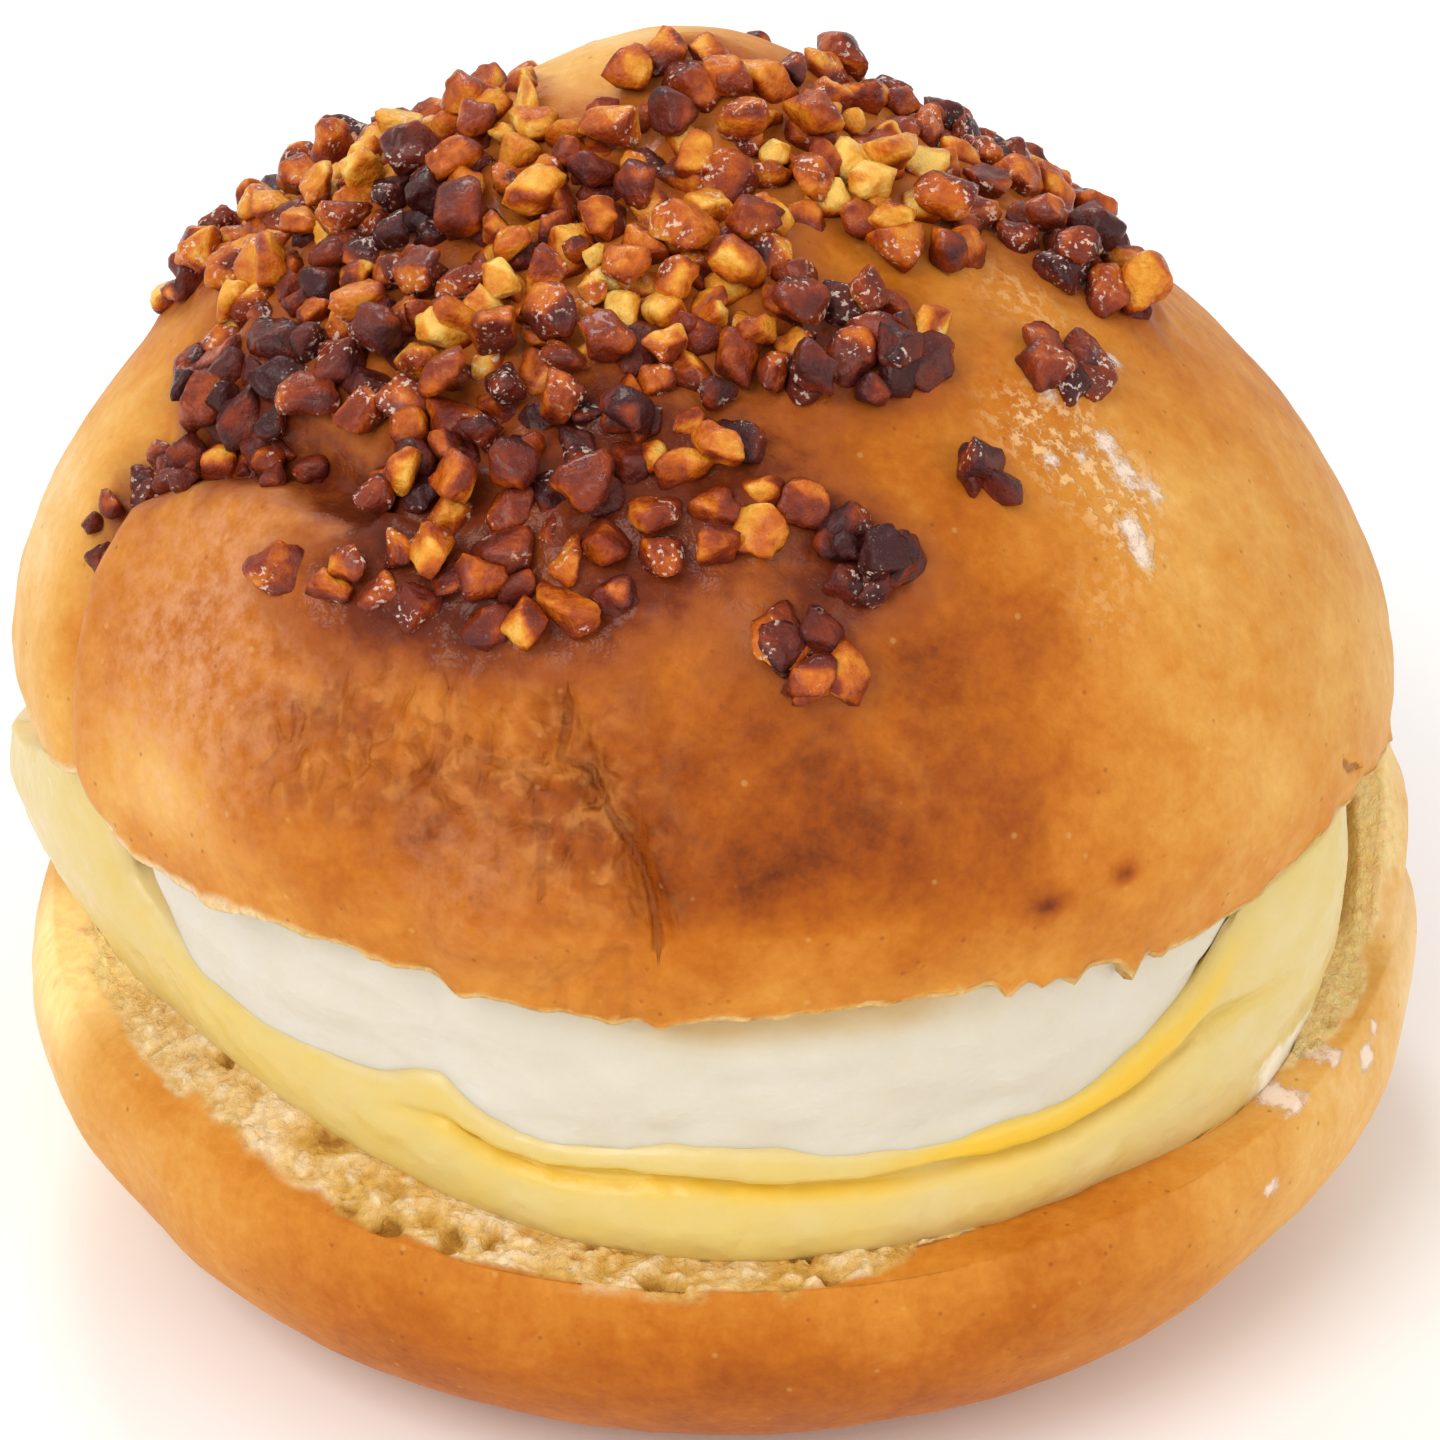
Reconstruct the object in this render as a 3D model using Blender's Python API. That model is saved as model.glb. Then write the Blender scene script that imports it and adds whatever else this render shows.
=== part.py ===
"""A bee sting bun: a split sweet bun filled with custard and whipped cream,
with caramelised chopped nuts on its lid.

Metres, +Z up. The bun rests on z = 0 and its front faces -Y.
An azimuth is in degrees and turns anticlockwise from +X, seen from above.
"""

import math

import bmesh
import bpy
import numpy as np
from mathutils import Matrix

MM = 0.001

# ---- lower half of the bun
BASE_RADIUS_X = 0.0534        # widest part, half of the bun's width
BASE_RADIUS_Y = 0.0517
BASE_FLAT = 0.0318            # radius of the flat underside
BASE_BELLY = 0.0170           # height of the widest part
BASE_CUT = 0.0226             # height of the cut face
BASE_RIM_INSET = 0.034        # how far the rim draws in, as a share of the radius
BASE_ROUND = 1.05             # 1 is a circular flank, more is a sharper one
BASE_BELLY_RISE = 0.7         # the flank reaches its widest at this rise
BASE_SWELL_FADE = 0.25        # swells fade out below this rise
CUT_STEPS = (0.0008, 0.0018, 0.0030)    # insets of the cut face's rings from the rim
CRUMB_MOUND = (222.0, 24.0, 0.0031)     # azimuth, spread and height of the torn crumb
# each swell: azimuth, rise, spread of azimuth, spread of rise, height
BASE_SWELLS = {
    "right_lump": (-4.0, 0.95, 9.0, 0.16, 0.0010),
    "left_flank": (200.0, 0.80, 18.0, 0.25, 0.0006),
    "front_left_dent": (213.0, 0.66, 5.0, 0.20, -0.0009),
    "front_right_dent": (322.0, 0.55, 9.0, 0.22, -0.0006),
    "back_dent": (96.0, 0.60, 22.0, 0.30, -0.0008),
}

# ---- the uncut side, where the lower half still reaches the lid
HINGE_START = (-16.0, 6.0)    # the lip rises between these azimuths
HINGE_END = (96.0, 124.0)     # and sinks between these
HINGE_THICK = 0.0030          # thickness of the lip at its top
HINGE_LEAN = 0.35             # share of the way to the lid's rim, at half the lip's height
HINGE_BULGE = 0.0012          # its wall bulges out by this much
HINGE_HEIGHT = 0.0100         # where it is at least this high

# ---- lid
LID_RADIUS_X = 0.0513
LID_RADIUS_Y = 0.0503
LID_HEIGHT = 0.0482           # cut face to crown, without the hump
LID_GAP = 0.0124              # base cut to lid cut, at the middle
LID_TILT = 11.4               # degrees, front edge up
LID_ROLL = 1.4                # degrees, right edge down
LID_X = -0.0010
LID_Y = -0.0002
LID_TUCK = -14.0              # degrees below the widest part where the crust ends
LID_ROUND = 1.08
LID_POINT = 1.18
CROWN_LEAN = -0.0030          # the crown leans to the left
LID_MAP = 0.075               # length of the crust from the crown to the rim
LID_PROBE = 0.001             # distance between places that give the crust's direction
# rise at which the crust is cut off all round: 0 is where the cut face would be flat
LID_RIM = ((0, 0.060), (30, 0.030), (60, 0.000), (120, 0.000), (178, 0.000), (187, 0.014),
           (193, 0.046), (201, 0.080), (210, 0.084), (217, 0.052), (224, 0.034), (232, 0.044), (241, 0.041),
           (247, 0.030), (254, 0.012), (268, 0.008), (279, 0.018), (290, 0.028), (303, 0.026),
           (315, 0.022), (322, 0.044), (328, 0.080), (337, 0.098), (348, 0.085))
UNDERSIDE_PASSES = 5          # steps that find the height of the lid's underside
LID_SWELL_FADE = 0.10         # swells and folds fade out below these rises
LID_FOLD_FADE = 0.08
LID_SWELLS = {
    "left_shoulder": (188.0, 0.34, 16.0, 0.22, 0.0018),
    "front_left_lobe": (229.0, 0.34, 15.0, 0.20, 0.0013),
    "front_lump": (252.0, 0.13, 6.5, 0.11, 0.0015),
    "right_shoulder": (-20.0, 0.50, 45.0, 0.22, 0.0006),
    "back_lobe": (70.0, 0.35, 30.0, 0.25, 0.0008),
    "back_left_lobe": (135.0, 0.30, 20.0, 0.22, 0.0010),
}
HUMP = (-0.0035, 0.0085, 0.0150, 0.0062)    # x, y, reach and height on the crown
HUMP_SHARPNESS = 2.6
# each fold: path of (azimuth, rise), depth, half width, height of the shoulder to
# the right of the path and the reach of that shoulder
LID_FOLDS = {
    "left_fold": (((209, 0.02), (206, 0.20), (203, 0.34), (203, 0.43), (211, 0.485),
                   (224, 0.515), (234, 0.505)), 0.0021, 0.0021, 0.0014, 0.0085),
    "left_fold_top": (((202, 0.44), (198, 0.50), (196, 0.56), (195, 0.62)),
                      0.0016, 0.0022, 0.0, 0.005),
    "front_crack": (((266, 0.14), (263, 0.26), (257, 0.36)), 0.0012, 0.0014, 0.0, 0.005),
    "lump_side": (((247, 0.02), (247, 0.16), (251, 0.25)), 0.0008, 0.0016, 0.0, 0.005),
    "right_crease": (((302, 0.34), (290, 0.42), (284, 0.50)), 0.0008, 0.0030, 0.0, 0.005),
    "back_fold": (((118, 0.02), (112, 0.30), (100, 0.48)), 0.0014, 0.0026, 0.0, 0.005),
}

# ---- filling
GAP = 0.0003                  # clearance between neighbouring pieces
LIP_GAP = 0.0004              # clearance under the lid's cut face
CUSTARD_FOOT = ((0, 0.0450), (45, 0.0446), (90, 0.0438), (135, 0.0456), (165, 0.0482),
                (181, 0.0500), (195, 0.0472), (208, 0.0454), (227, 0.0450), (244, 0.0453),
                (258, 0.0459), (281, 0.0463), (305, 0.0467), (326, 0.0479), (342, 0.0468))
CUSTARD_BROW = ((0, 0.0447), (45, 0.0444), (90, 0.0436), (135, 0.0458), (162, 0.0500),
                (180, 0.0538), (190, 0.0517), (203, 0.0476), (227, 0.0455), (248, 0.0456),
                (281, 0.0460), (305, 0.0463), (318, 0.0476), (331, 0.0492), (345, 0.0470))
CREASE_HEIGHT = ((0, 0.0290), (180, 0.0290), (236, 0.0308), (248, 0.0311), (259, 0.0300),
                 (277, 0.0284), (295, 0.0286), (306, 0.0301), (316, 0.0326), (326, 0.0330))
CREASE_SHOWS = (236.0, 252.0, 312.0, 330.0)   # fades in over the first two, out over the last
CREASE_BETWEEN = (0.38, 0.70)  # it stays between these shares of the custard's side
CREASE_OUT = 0.70             # share of the way from the custard's foot to its brow
CREASE_DEPTH = 0.0009
BEAD_BULGE = 0.0009
WALL_INSET = 0.0006           # the wall round the cream, in from the brow and its own slope
WALL_THICK = 0.0008
CREAM_SHOWS = (198.0, 204.0, 315.0, 321.0)
CREAM_REACH = ((0, 0.0400), (45, 0.0340), (90, 0.0270), (135, 0.0310), (165, 0.0370),
               (185, 0.0415), (200, 0.0449), (232, 0.0450), (270, 0.0453), (305, 0.0458),
               (317, 0.0461), (330, 0.0438))
CREAM_LEAN = 0.0012           # the cream's face leans out by this much at its top
CREAM_BELLY = (0.80, 0.45)    # share of the lean that is reached at a share of the height
CREAM_FOOT = ((0, 0.0300), (45, 0.0270), (90, 0.0246), (135, 0.0258), (165, 0.0300),
              (185, 0.0345), (198, 0.0374), (208, 0.0341), (225, 0.0325), (238, 0.0332),
              (244, 0.0347), (248, 0.0327), (268, 0.0322), (290, 0.0311), (304, 0.0318),
              (312, 0.0350), (319, 0.0386), (335, 0.0350))
CREAM_FOOT_MIDDLE = 0.0288

# ---- chopped nuts, placed on the lid's crust spread flat about its crown
NUT_SEED = 29
NUT_TRIES = 600
NUT_CORNERS = 10
NUT_JITTER = 0.30             # unevenness of a nut's corners
NUT_SIZE = (0.0019, 0.0029)   # half of the longest side
NUT_WIDE = 0.80               # half width and half thickness, as shares of the half length
NUT_THICK = 0.66
NUT_SPACING = 0.60            # share of two half lengths between two nuts' middles
NUT_SUNK = 0.28               # share of the half thickness below the crust
NUT_LIFT = 0.0019             # height of a nut that lies on other nuts
NUT_TILT = 0.45
NUT_SOLIDS = 172              # the largest ones are made as solids
# each patch, in millimetres: middle x and y on the spread crust, half length, half width,
# turn in degrees, count on the crust and count on top of those
NUT_PATCHES = {
    "left_back": (-26.5, 3.5, 9.0, 6.0, 0, 22, 3),
    "left": (-27.6, -16.0, 8.5, 4.2, -40, 20, 0),
    "left_middle": (-25.0, -6.5, 7.0, 4.0, 10, 9, 2),
    "middle": (-9.0, -18.5, 15.0, 11.0, -10, 60, 12),
    "top": (-16.5, -3.0, 7.5, 7.0, 20, 17, 4),
    "crown": (3.0, -1.8, 7.0, 1.8, 5, 9, 0),
    "crown_middle": (-1.5, -8.5, 7.5, 4.0, 0, 10, 2),
    "crown_right": (15.5, 3.5, 8.5, 5.5, 25, 15, 0),
    "right": (10.5, -8.5, 7.5, 5.5, -20, 10, 1),
    "right_cluster": (24.0, -6.0, 5.2, 3.6, 20, 10, 1),
    "right_dark": (8.5, -22.5, 6.5, 4.0, 12, 9, 4),
    "front": (-9.0, -31.0, 12.0, 3.4, 0, 15, 2),
    "low_left": (-20.0, -37.0, 4.5, 2.2, -10, 5, 0),
    "low_middle": (-9.0, -38.5, 6.5, 2.8, 10, 7, 0),
    "low_right": (1.5, -35.5, 5.5, 1.8, 10, 4, 0),
    "burnt": (10.3, -36.2, 2.6, 1.6, 0, 3, 1),
    "burnt_low": (7.0, -43.8, 2.6, 1.2, -15, 3, 0),
    "pair": (22.5, -18.5, 2.8, 1.0, 20, 3, 0),
    "lone": (17.5, -29.3, 0.4, 0.4, 0, 1, 0),
    "lone_left": (-27.7, -33.0, 0.4, 0.4, 0, 1, 0),
    "back": (4.0, 26.0, 22.0, 7.0, 0, 14, 1),
    "back_left": (-24.0, 18.0, 7.0, 4.5, 10, 7, 1),
    "back_right": (22.0, 17.0, 6.0, 5.0, 0, 5, 0),
}

# ---- fineness of the solids
SMOOTH_ANGLE = 40.0
SEGMENTS = 72                 # points round a ring
FINEST_AZIMUTH = 245.0        # they lie closest together here, by this share
FINEST_SHARE = 0.35
BASE_RISES = (0.0, 0.13, 0.27, 0.42, 0.57, 0.72, 0.84, 0.93, 1.0)
LID_RISES = 25                # rings from the lid's rim to its crown

# ---- place of the bun's box on the origin
SHIFT_X = 0.00036
SHIFT_Y = 0.00024

# ---- colours and roughness
MATERIALS = {
    "bun_base": ((0.56, 0.24, 0.055), 0.62),
    "custard": ((0.84, 0.62, 0.18), 0.38),
    "cream": ((0.86, 0.82, 0.72), 0.55),
    "bun_top": ((0.47, 0.16, 0.035), 0.50),
}


def ease(low, high, value):
    """0 below low, 1 above high, and a smooth step between them."""
    share = np.clip((value - low) / (high - low), 0.0, 1.0)
    return share * share * (3.0 - 2.0 * share)


def turned(azimuth):
    """The same azimuth, between -180 and 180."""
    return (np.asarray(azimuth, float) + 180.0) % 360.0 - 180.0


def around(azimuth, keys):
    """A smooth closed curve through (azimuth, value) keys, read at an azimuth."""
    at = np.array([key[0] for key in keys], float)
    value = np.array([key[1] for key in keys], float)
    at_after = np.append(at[1:], at[0] + 360.0)
    step = at_after - at
    rise = (np.roll(value, -1) - value) / step
    slope = (rise * np.roll(step, 1) + np.roll(rise, 1) * step) / (step + np.roll(step, 1))
    azimuth = (np.asarray(azimuth, float) - at[0]) % 360.0 + at[0]
    index = np.clip(np.searchsorted(at, azimuth, side="right") - 1, 0, len(at) - 1)
    after = (index + 1) % len(at)
    share = (azimuth - at[index]) / step[index]
    bend = share * share * (3.0 - 2.0 * share)
    start = slope[index] * share * step[index] * (1.0 - share) ** 2
    finish = slope[after] * step[index] * share * share * (share - 1.0)
    return value[index] * (1.0 - bend) + value[after] * bend + start + finish


def shown(azimuth, limits):
    """1 between the inner two azimuths of four, fading to 0 at the outer two."""
    azimuth = np.asarray(azimuth, float) % 360.0
    return ease(limits[0], limits[1], azimuth) * (1.0 - ease(limits[2], limits[3], azimuth))


def on_circle(azimuth, radius, height):
    """Points at a radius and a height round the bun's axis."""
    angle = np.radians(azimuth)
    x = radius * np.cos(angle)
    y = radius * np.sin(angle)
    return np.stack(np.broadcast_arrays(x, y, height), axis=-1)


def oval(azimuth, radius_x, radius_y):
    """Radius of an oval at an azimuth."""
    angle = np.radians(azimuth)
    return radius_x * radius_y / np.hypot(radius_y * np.cos(angle), radius_x * np.sin(angle))


def mix(first, second, share):
    """first where the share is 0, second where it is 1."""
    return first + (second - first) * share


def swelling(azimuth, rise, swells):
    """Height of the swells in a crust at an azimuth and a rise."""
    total = np.zeros(np.broadcast(azimuth, rise).shape)
    for middle, level, wide, tall, height in swells.values():
        off = (turned(azimuth - middle) / wide) ** 2 + ((rise - level) / tall) ** 2
        total = total + height * np.exp(-off)
    return total


# ---- lower half

def hinge(azimuth):
    """1 where the bun isn't cut through, 0 where it is."""
    side = turned(azimuth)
    return ease(HINGE_START[0], HINGE_START[1], side) * (1.0 - ease(HINGE_END[0], HINGE_END[1], side))


def base_crust(azimuth, rise):
    """The lower half's crust, from its flat underside, rise 0, to its rim, rise 1."""
    azimuth, rise = np.broadcast_arrays(np.asarray(azimuth, float), np.asarray(rise, float))
    below = np.clip(rise / BASE_BELLY_RISE, 0.0, 1.0)
    above = np.clip((rise - BASE_BELLY_RISE) / (1.0 - BASE_BELLY_RISE), 0.0, 1.0)
    angle = (below - 1.0) * math.pi / 2.0
    flat = BASE_FLAT / BASE_RADIUS_X
    ring = flat + (1.0 - flat) * np.cos(angle) ** BASE_ROUND - BASE_RIM_INSET * above ** 2
    swell = swelling(azimuth, rise, BASE_SWELLS) * ease(0.0, BASE_SWELL_FADE, rise)
    radius = oval(azimuth, BASE_RADIUS_X, BASE_RADIUS_Y) * ring + swell
    z = BASE_BELLY * (1.0 + np.sin(angle)) + (BASE_CUT - BASE_BELLY) * above
    return on_circle(azimuth, radius, z)


def crumb_height(azimuth):
    """Height of the cut face where the custard starts."""
    middle, spread, height = CRUMB_MOUND
    return BASE_CUT + height * np.exp(-(turned(azimuth - middle) / spread) ** 2)


# ---- lid

def lid_turn():
    """The lid's rotation, as a 3 by 3 matrix: a roll about Y and then a tilt about X."""
    across, up = math.cos(math.radians(LID_ROLL)), math.sin(math.radians(LID_ROLL))
    along, rise = math.cos(math.radians(LID_TILT)), math.sin(math.radians(LID_TILT))
    roll = np.array([[across, 0.0, up], [0.0, 1.0, 0.0], [-up, 0.0, across]])
    tilt = np.array([[1.0, 0.0, 0.0], [0.0, along, rise], [0.0, -rise, along]])
    return tilt @ roll


def lid_place(points):
    """Points of the lid's own frame, whose z is 0 on its cut face, in the bun's frame."""
    return points @ lid_turn().T + np.array([LID_X, LID_Y, BASE_CUT + LID_GAP])


def lid_dome(azimuth, rise):
    """The lid's crust without folds, and its rough outward direction."""
    azimuth, rise = np.broadcast_arrays(np.asarray(azimuth, float), np.asarray(rise, float))
    tuck = math.radians(LID_TUCK)
    angle = tuck + (math.pi / 2.0 - tuck) * rise
    turn = np.radians(azimuth)
    start = -abs(math.sin(tuck)) ** LID_POINT
    level = np.sign(np.sin(angle)) * np.abs(np.sin(angle)) ** LID_POINT
    share = (level - start) / (1.0 - start)
    radius = oval(azimuth, LID_RADIUS_X, LID_RADIUS_Y) * np.maximum(np.cos(angle), 0.0) ** LID_ROUND
    x = radius * np.cos(turn) + CROWN_LEAN * share ** 2
    y = radius * np.sin(turn)
    out = np.stack([np.cos(turn) * np.cos(angle), np.sin(turn) * np.cos(angle), np.sin(angle)],
                   axis=-1)
    hump_x, hump_y, hump_reach, hump_height = HUMP
    off = np.hypot(x - hump_x, y - hump_y) / hump_reach
    z = LID_HEIGHT * share + hump_height * np.exp(-off ** HUMP_SHARPNESS) * share ** 2
    swell = swelling(azimuth, rise, LID_SWELLS) * ease(0.0, LID_SWELL_FADE, rise)
    return np.stack([x, y, z], axis=-1) + out * swell[..., None], out


def fold_height(points, out, fold):
    """How far a fold moves the crust's points along their outward direction."""
    path, depth, width, shoulder, reach = fold
    corners = [lid_dome(azimuth, rise)[0] for azimuth, rise in path]
    nearest = np.full(points.shape[:-1], np.inf)
    right = np.zeros(points.shape[:-1], bool)
    for start, finish in zip(corners[:-1], corners[1:]):
        run = finish - start
        along = np.clip((points - start) @ run / (run @ run), 0.0, 1.0)
        away = points - (start + along[..., None] * run)
        distance = np.linalg.norm(away, axis=-1)
        on_right = np.einsum("...i,...i", away, np.cross(out, run)) < 0.0
        closer = distance < nearest
        right = np.where(closer, on_right, right)
        nearest = np.where(closer, distance, nearest)
    valley = np.exp(-(nearest / width) ** 2)
    bank = np.where(right, (1.0 - valley) * np.exp(-(nearest / reach) ** 2), 0.0)
    return shoulder * bank - depth * valley


def lid_crust(azimuth, rise):
    """The lid's crust in its own frame, and its rough outward direction."""
    points, out = lid_dome(azimuth, rise)
    height = np.zeros(points.shape[:-1])
    for fold in LID_FOLDS.values():
        height = height + fold_height(points, out, fold)
    rise = np.broadcast_to(rise, height.shape)
    height = height * ease(0.0, LID_FOLD_FADE, rise)
    return points + out * height[..., None], out


def lid_rim(azimuth):
    """The lid's rim in its own frame."""
    return lid_crust(azimuth, around(azimuth, LID_RIM))[0]


def lid_cut_height(x, y):
    """Height over a place of the lid's underside, which runs straight from its middle to its rim."""
    turn = lid_turn()
    height = np.full(np.shape(x), BASE_CUT + LID_GAP)
    for _ in range(UNDERSIDE_PASSES):
        own = (np.stack([x, y, height], axis=-1) - np.array([LID_X, LID_Y, BASE_CUT + LID_GAP])) @ turn
        rim = lid_rim(np.degrees(np.arctan2(own[..., 1], own[..., 0])))
        share = np.hypot(own[..., 0], own[..., 1]) / np.hypot(rim[..., 0], rim[..., 1])
        height = height + (rim[..., 2] * share - own[..., 2]) / turn[2, 2]
    return height


def spread_crust(x, y):
    """Azimuth and rise of a place on the lid's crust spread flat about its crown."""
    rise = 1.0 - np.hypot(x, y) / LID_MAP
    azimuth = np.degrees(np.arctan2(y, x))
    return azimuth, rise


def crust_place(x, y):
    """The point over a place of the spread crust, and the crust's outward normal there."""
    azimuth, rise = spread_crust(np.array([x, x + LID_PROBE, x - LID_PROBE, x, x]),
                                 np.array([y, y, y, y + LID_PROBE, y - LID_PROBE]))
    points = lid_crust(azimuth, rise)[0]
    out = np.cross(points[1] - points[2], points[3] - points[4])
    return points[0], out / np.linalg.norm(out)


# ---- solids

def mesh_object(name, bm):
    """A new object with its own material, from a finished bmesh."""
    bmesh.ops.triangulate(bm, faces=bm.faces)
    mesh = bpy.data.meshes.new(name)
    bm.to_mesh(mesh)
    bm.free()
    obj = bpy.data.objects.new(name, mesh)
    bpy.context.scene.collection.objects.link(obj)
    return obj


def finish(obj, parent):
    """Gives a piece its material, its smooth shading and its parent."""
    colour, roughness = MATERIALS[obj.name]
    material = bpy.data.materials.new(obj.name)
    material.use_nodes = True
    shader = material.node_tree.nodes["Principled BSDF"]
    shader.inputs["Base Color"].default_value = (*colour, 1.0)
    shader.inputs["Roughness"].default_value = roughness
    shader.inputs["Metallic"].default_value = 0.0
    material.diffuse_color = (*colour, 1.0)
    obj.data.materials.clear()
    obj.data.materials.append(material)
    obj.data.shade_smooth()
    obj.data.set_sharp_from_angle(angle=math.radians(SMOOTH_ANGLE))
    obj.parent = parent


def solid_of_rings(name, rings, bottom, top):
    """A closed solid from rings that run up its outside, closed by two middle points."""
    bm = bmesh.new()
    loops = [[bm.verts.new(point) for point in ring] for ring in rings]
    count = len(loops[0])
    low = bm.verts.new(bottom)
    high = bm.verts.new(top)
    for index in range(count):
        after = (index + 1) % count
        bm.faces.new((low, loops[0][after], loops[0][index]))
        for ring, above in zip(loops[:-1], loops[1:]):
            bm.faces.new((ring[index], ring[after], above[after], above[index]))
        bm.faces.new((loops[-1][index], loops[-1][after], high))
    return mesh_object(name, bm)


def ring_azimuths():
    """Azimuths of a ring's points, closer together on the folded front left."""
    even = np.arange(SEGMENTS) * 360.0 / SEGMENTS
    turn = np.radians(even - FINEST_AZIMUTH)
    return even - np.degrees(FINEST_SHARE * np.sin(turn))


def bun_base():
    """The lower half: browned crust, torn cut face, and the lip where the bun is uncut."""
    azimuth = ring_azimuths()
    lip = hinge(azimuth)
    rim = oval(azimuth, BASE_RADIUS_X, BASE_RADIUS_Y) * (1.0 - BASE_RIM_INSET)
    rim = rim + swelling(azimuth, 1.0, BASE_SWELLS)
    shelf = around(azimuth, CUSTARD_FOOT) + GAP
    mound = crumb_height(azimuth) - BASE_CUT
    rings = [base_crust(azimuth, rise) for rise in BASE_RISES]
    over = lid_place(lid_rim(azimuth))
    lid_rim_radius = np.hypot(over[:, 0], over[:, 1])
    bulge = HINGE_BULGE * ease(0.0, HINGE_HEIGHT, over[:, 2] - BASE_CUT)
    lip_rings = ((mix(rim, lid_rim_radius, HINGE_LEAN) + bulge, 0.5),
                 (lid_rim_radius, 1.0), (lid_rim_radius - HINGE_THICK, 1.0))
    for inset, (lip_radius, share) in zip(CUT_STEPS, lip_rings):
        radius = mix(rim - inset, lip_radius, lip)
        flat = on_circle(azimuth, radius, BASE_CUT)
        full = lid_cut_height(flat[:, 0], flat[:, 1]) - LIP_GAP - BASE_CUT
        slope = mound * (rim - radius) / (rim - shelf)
        rings.append(on_circle(azimuth, radius, BASE_CUT + slope * (1.0 - lip) + full * share * lip))
    rings.append(on_circle(azimuth, shelf, BASE_CUT + mound))
    rings.append(on_circle(azimuth, shelf / 2.0, BASE_CUT + mound / 2.0))
    return solid_of_rings("bun_base", rings, (0.0, 0.0, 0.0), (0.0, 0.0, BASE_CUT))


def custard():
    """The custard: a bed with two swelling beads at its side and a wall round the cream."""
    azimuth = ring_azimuths()
    foot = around(azimuth, CUSTARD_FOOT)
    brow = around(azimuth, CUSTARD_BROW)
    floor = crumb_height(azimuth) + GAP
    shows = shown(azimuth, CREAM_SHOWS)
    cream_foot = around(azimuth, CREAM_FOOT)
    cream_top = around(azimuth, CREAM_REACH) + CREAM_LEAN
    under_lid = on_circle(azimuth, brow, 0.0)
    full = lid_cut_height(under_lid[:, 0], under_lid[:, 1]) - LIP_GAP
    edge = mix(full, cream_foot, shows)
    low_crease, high_crease = CREASE_BETWEEN
    crease = np.clip(around(azimuth, CREASE_HEIGHT),
                     mix(floor, edge, low_crease), mix(floor, edge, high_crease))
    bulge = BEAD_BULGE * (1.0 - hinge(azimuth))
    inset = CREASE_DEPTH * shown(azimuth, CREASE_SHOWS)
    wall = np.minimum(brow - WALL_INSET, cream_top + WALL_THICK)
    bed = wall - WALL_INSET
    inside = on_circle(azimuth, wall, 0.0)
    wall_top = mix(lid_cut_height(inside[:, 0], inside[:, 1]) - LIP_GAP, cream_foot, shows)
    rings = [
        on_circle(azimuth, foot / 2.0, (floor + BASE_CUT + GAP) / 2.0),
        on_circle(azimuth, foot, floor),
        on_circle(azimuth, mix(foot, brow, CREASE_OUT / 2.0) + bulge, mix(floor, crease, 0.5)),
        on_circle(azimuth, mix(foot, brow, CREASE_OUT) - inset, crease),
        on_circle(azimuth, brow + bulge / 2.0, mix(crease, edge, 0.5)),
        on_circle(azimuth, brow, edge),
        on_circle(azimuth, wall, wall_top),
        on_circle(azimuth, bed, cream_foot),
        on_circle(azimuth, bed / 2.0, (cream_foot + CREAM_FOOT_MIDDLE) / 2.0),
    ]
    return solid_of_rings("custard", rings, (0.0, 0.0, BASE_CUT + GAP),
                          (0.0, 0.0, CREAM_FOOT_MIDDLE))


def cream():
    """The whipped cream, from its bed in the custard up to the lid."""
    azimuth = ring_azimuths()
    foot = around(azimuth, CREAM_REACH)
    top = foot + CREAM_LEAN
    floor = around(azimuth, CREAM_FOOT) + LIP_GAP
    middle = CREAM_FOOT_MIDDLE + LIP_GAP

    def under_lid(radius):
        """A ring just below the lid's cut face."""
        ring = on_circle(azimuth, radius, 0.0)
        ring[:, 2] = lid_cut_height(ring[:, 0], ring[:, 1]) - LIP_GAP
        return ring

    upper = under_lid(top)
    out, level = CREAM_BELLY
    belly = on_circle(azimuth, foot + CREAM_LEAN * out, mix(floor, upper[:, 2], level))
    rings = [on_circle(azimuth, foot / 2.0, (floor + middle) / 2.0),
             on_circle(azimuth, foot, floor), belly, upper, under_lid(top / 2.0)]
    return solid_of_rings("cream", rings, (0.0, 0.0, middle),
                          (0.0, 0.0, lid_cut_height(0.0, 0.0) - LIP_GAP))


def nut_corners(draw, x, y, size, layer):
    """Corners of one chopped nut that lies on the crust, or on the nuts below it."""
    place, out = crust_place(x, y)
    index = np.arange(NUT_CORNERS)
    height = 1.0 - (2.0 * index + 1.0) / NUT_CORNERS
    angle = math.pi * (3.0 - math.sqrt(5.0)) * index
    wide = np.sqrt(1.0 - height ** 2)
    corners = np.stack([wide * np.cos(angle), wide * np.sin(angle), height], axis=1)
    corners = corners + draw.normal(0.0, NUT_JITTER, (NUT_CORNERS, 3))
    corners = corners / np.linalg.norm(corners, axis=1, keepdims=True)
    corners = corners * np.array([1.0, NUT_WIDE, NUT_THICK]) * size
    up = out + draw.normal(0.0, NUT_TILT, 3)
    up = up / np.linalg.norm(up)
    side = np.cross(up, draw.normal(0.0, 1.0, 3))
    side = side / np.linalg.norm(side)
    middle = place + out * (size * NUT_THICK * (1.0 - NUT_SUNK) + layer * NUT_LIFT)
    return middle + corners @ np.stack([side, np.cross(up, side), up])


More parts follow.
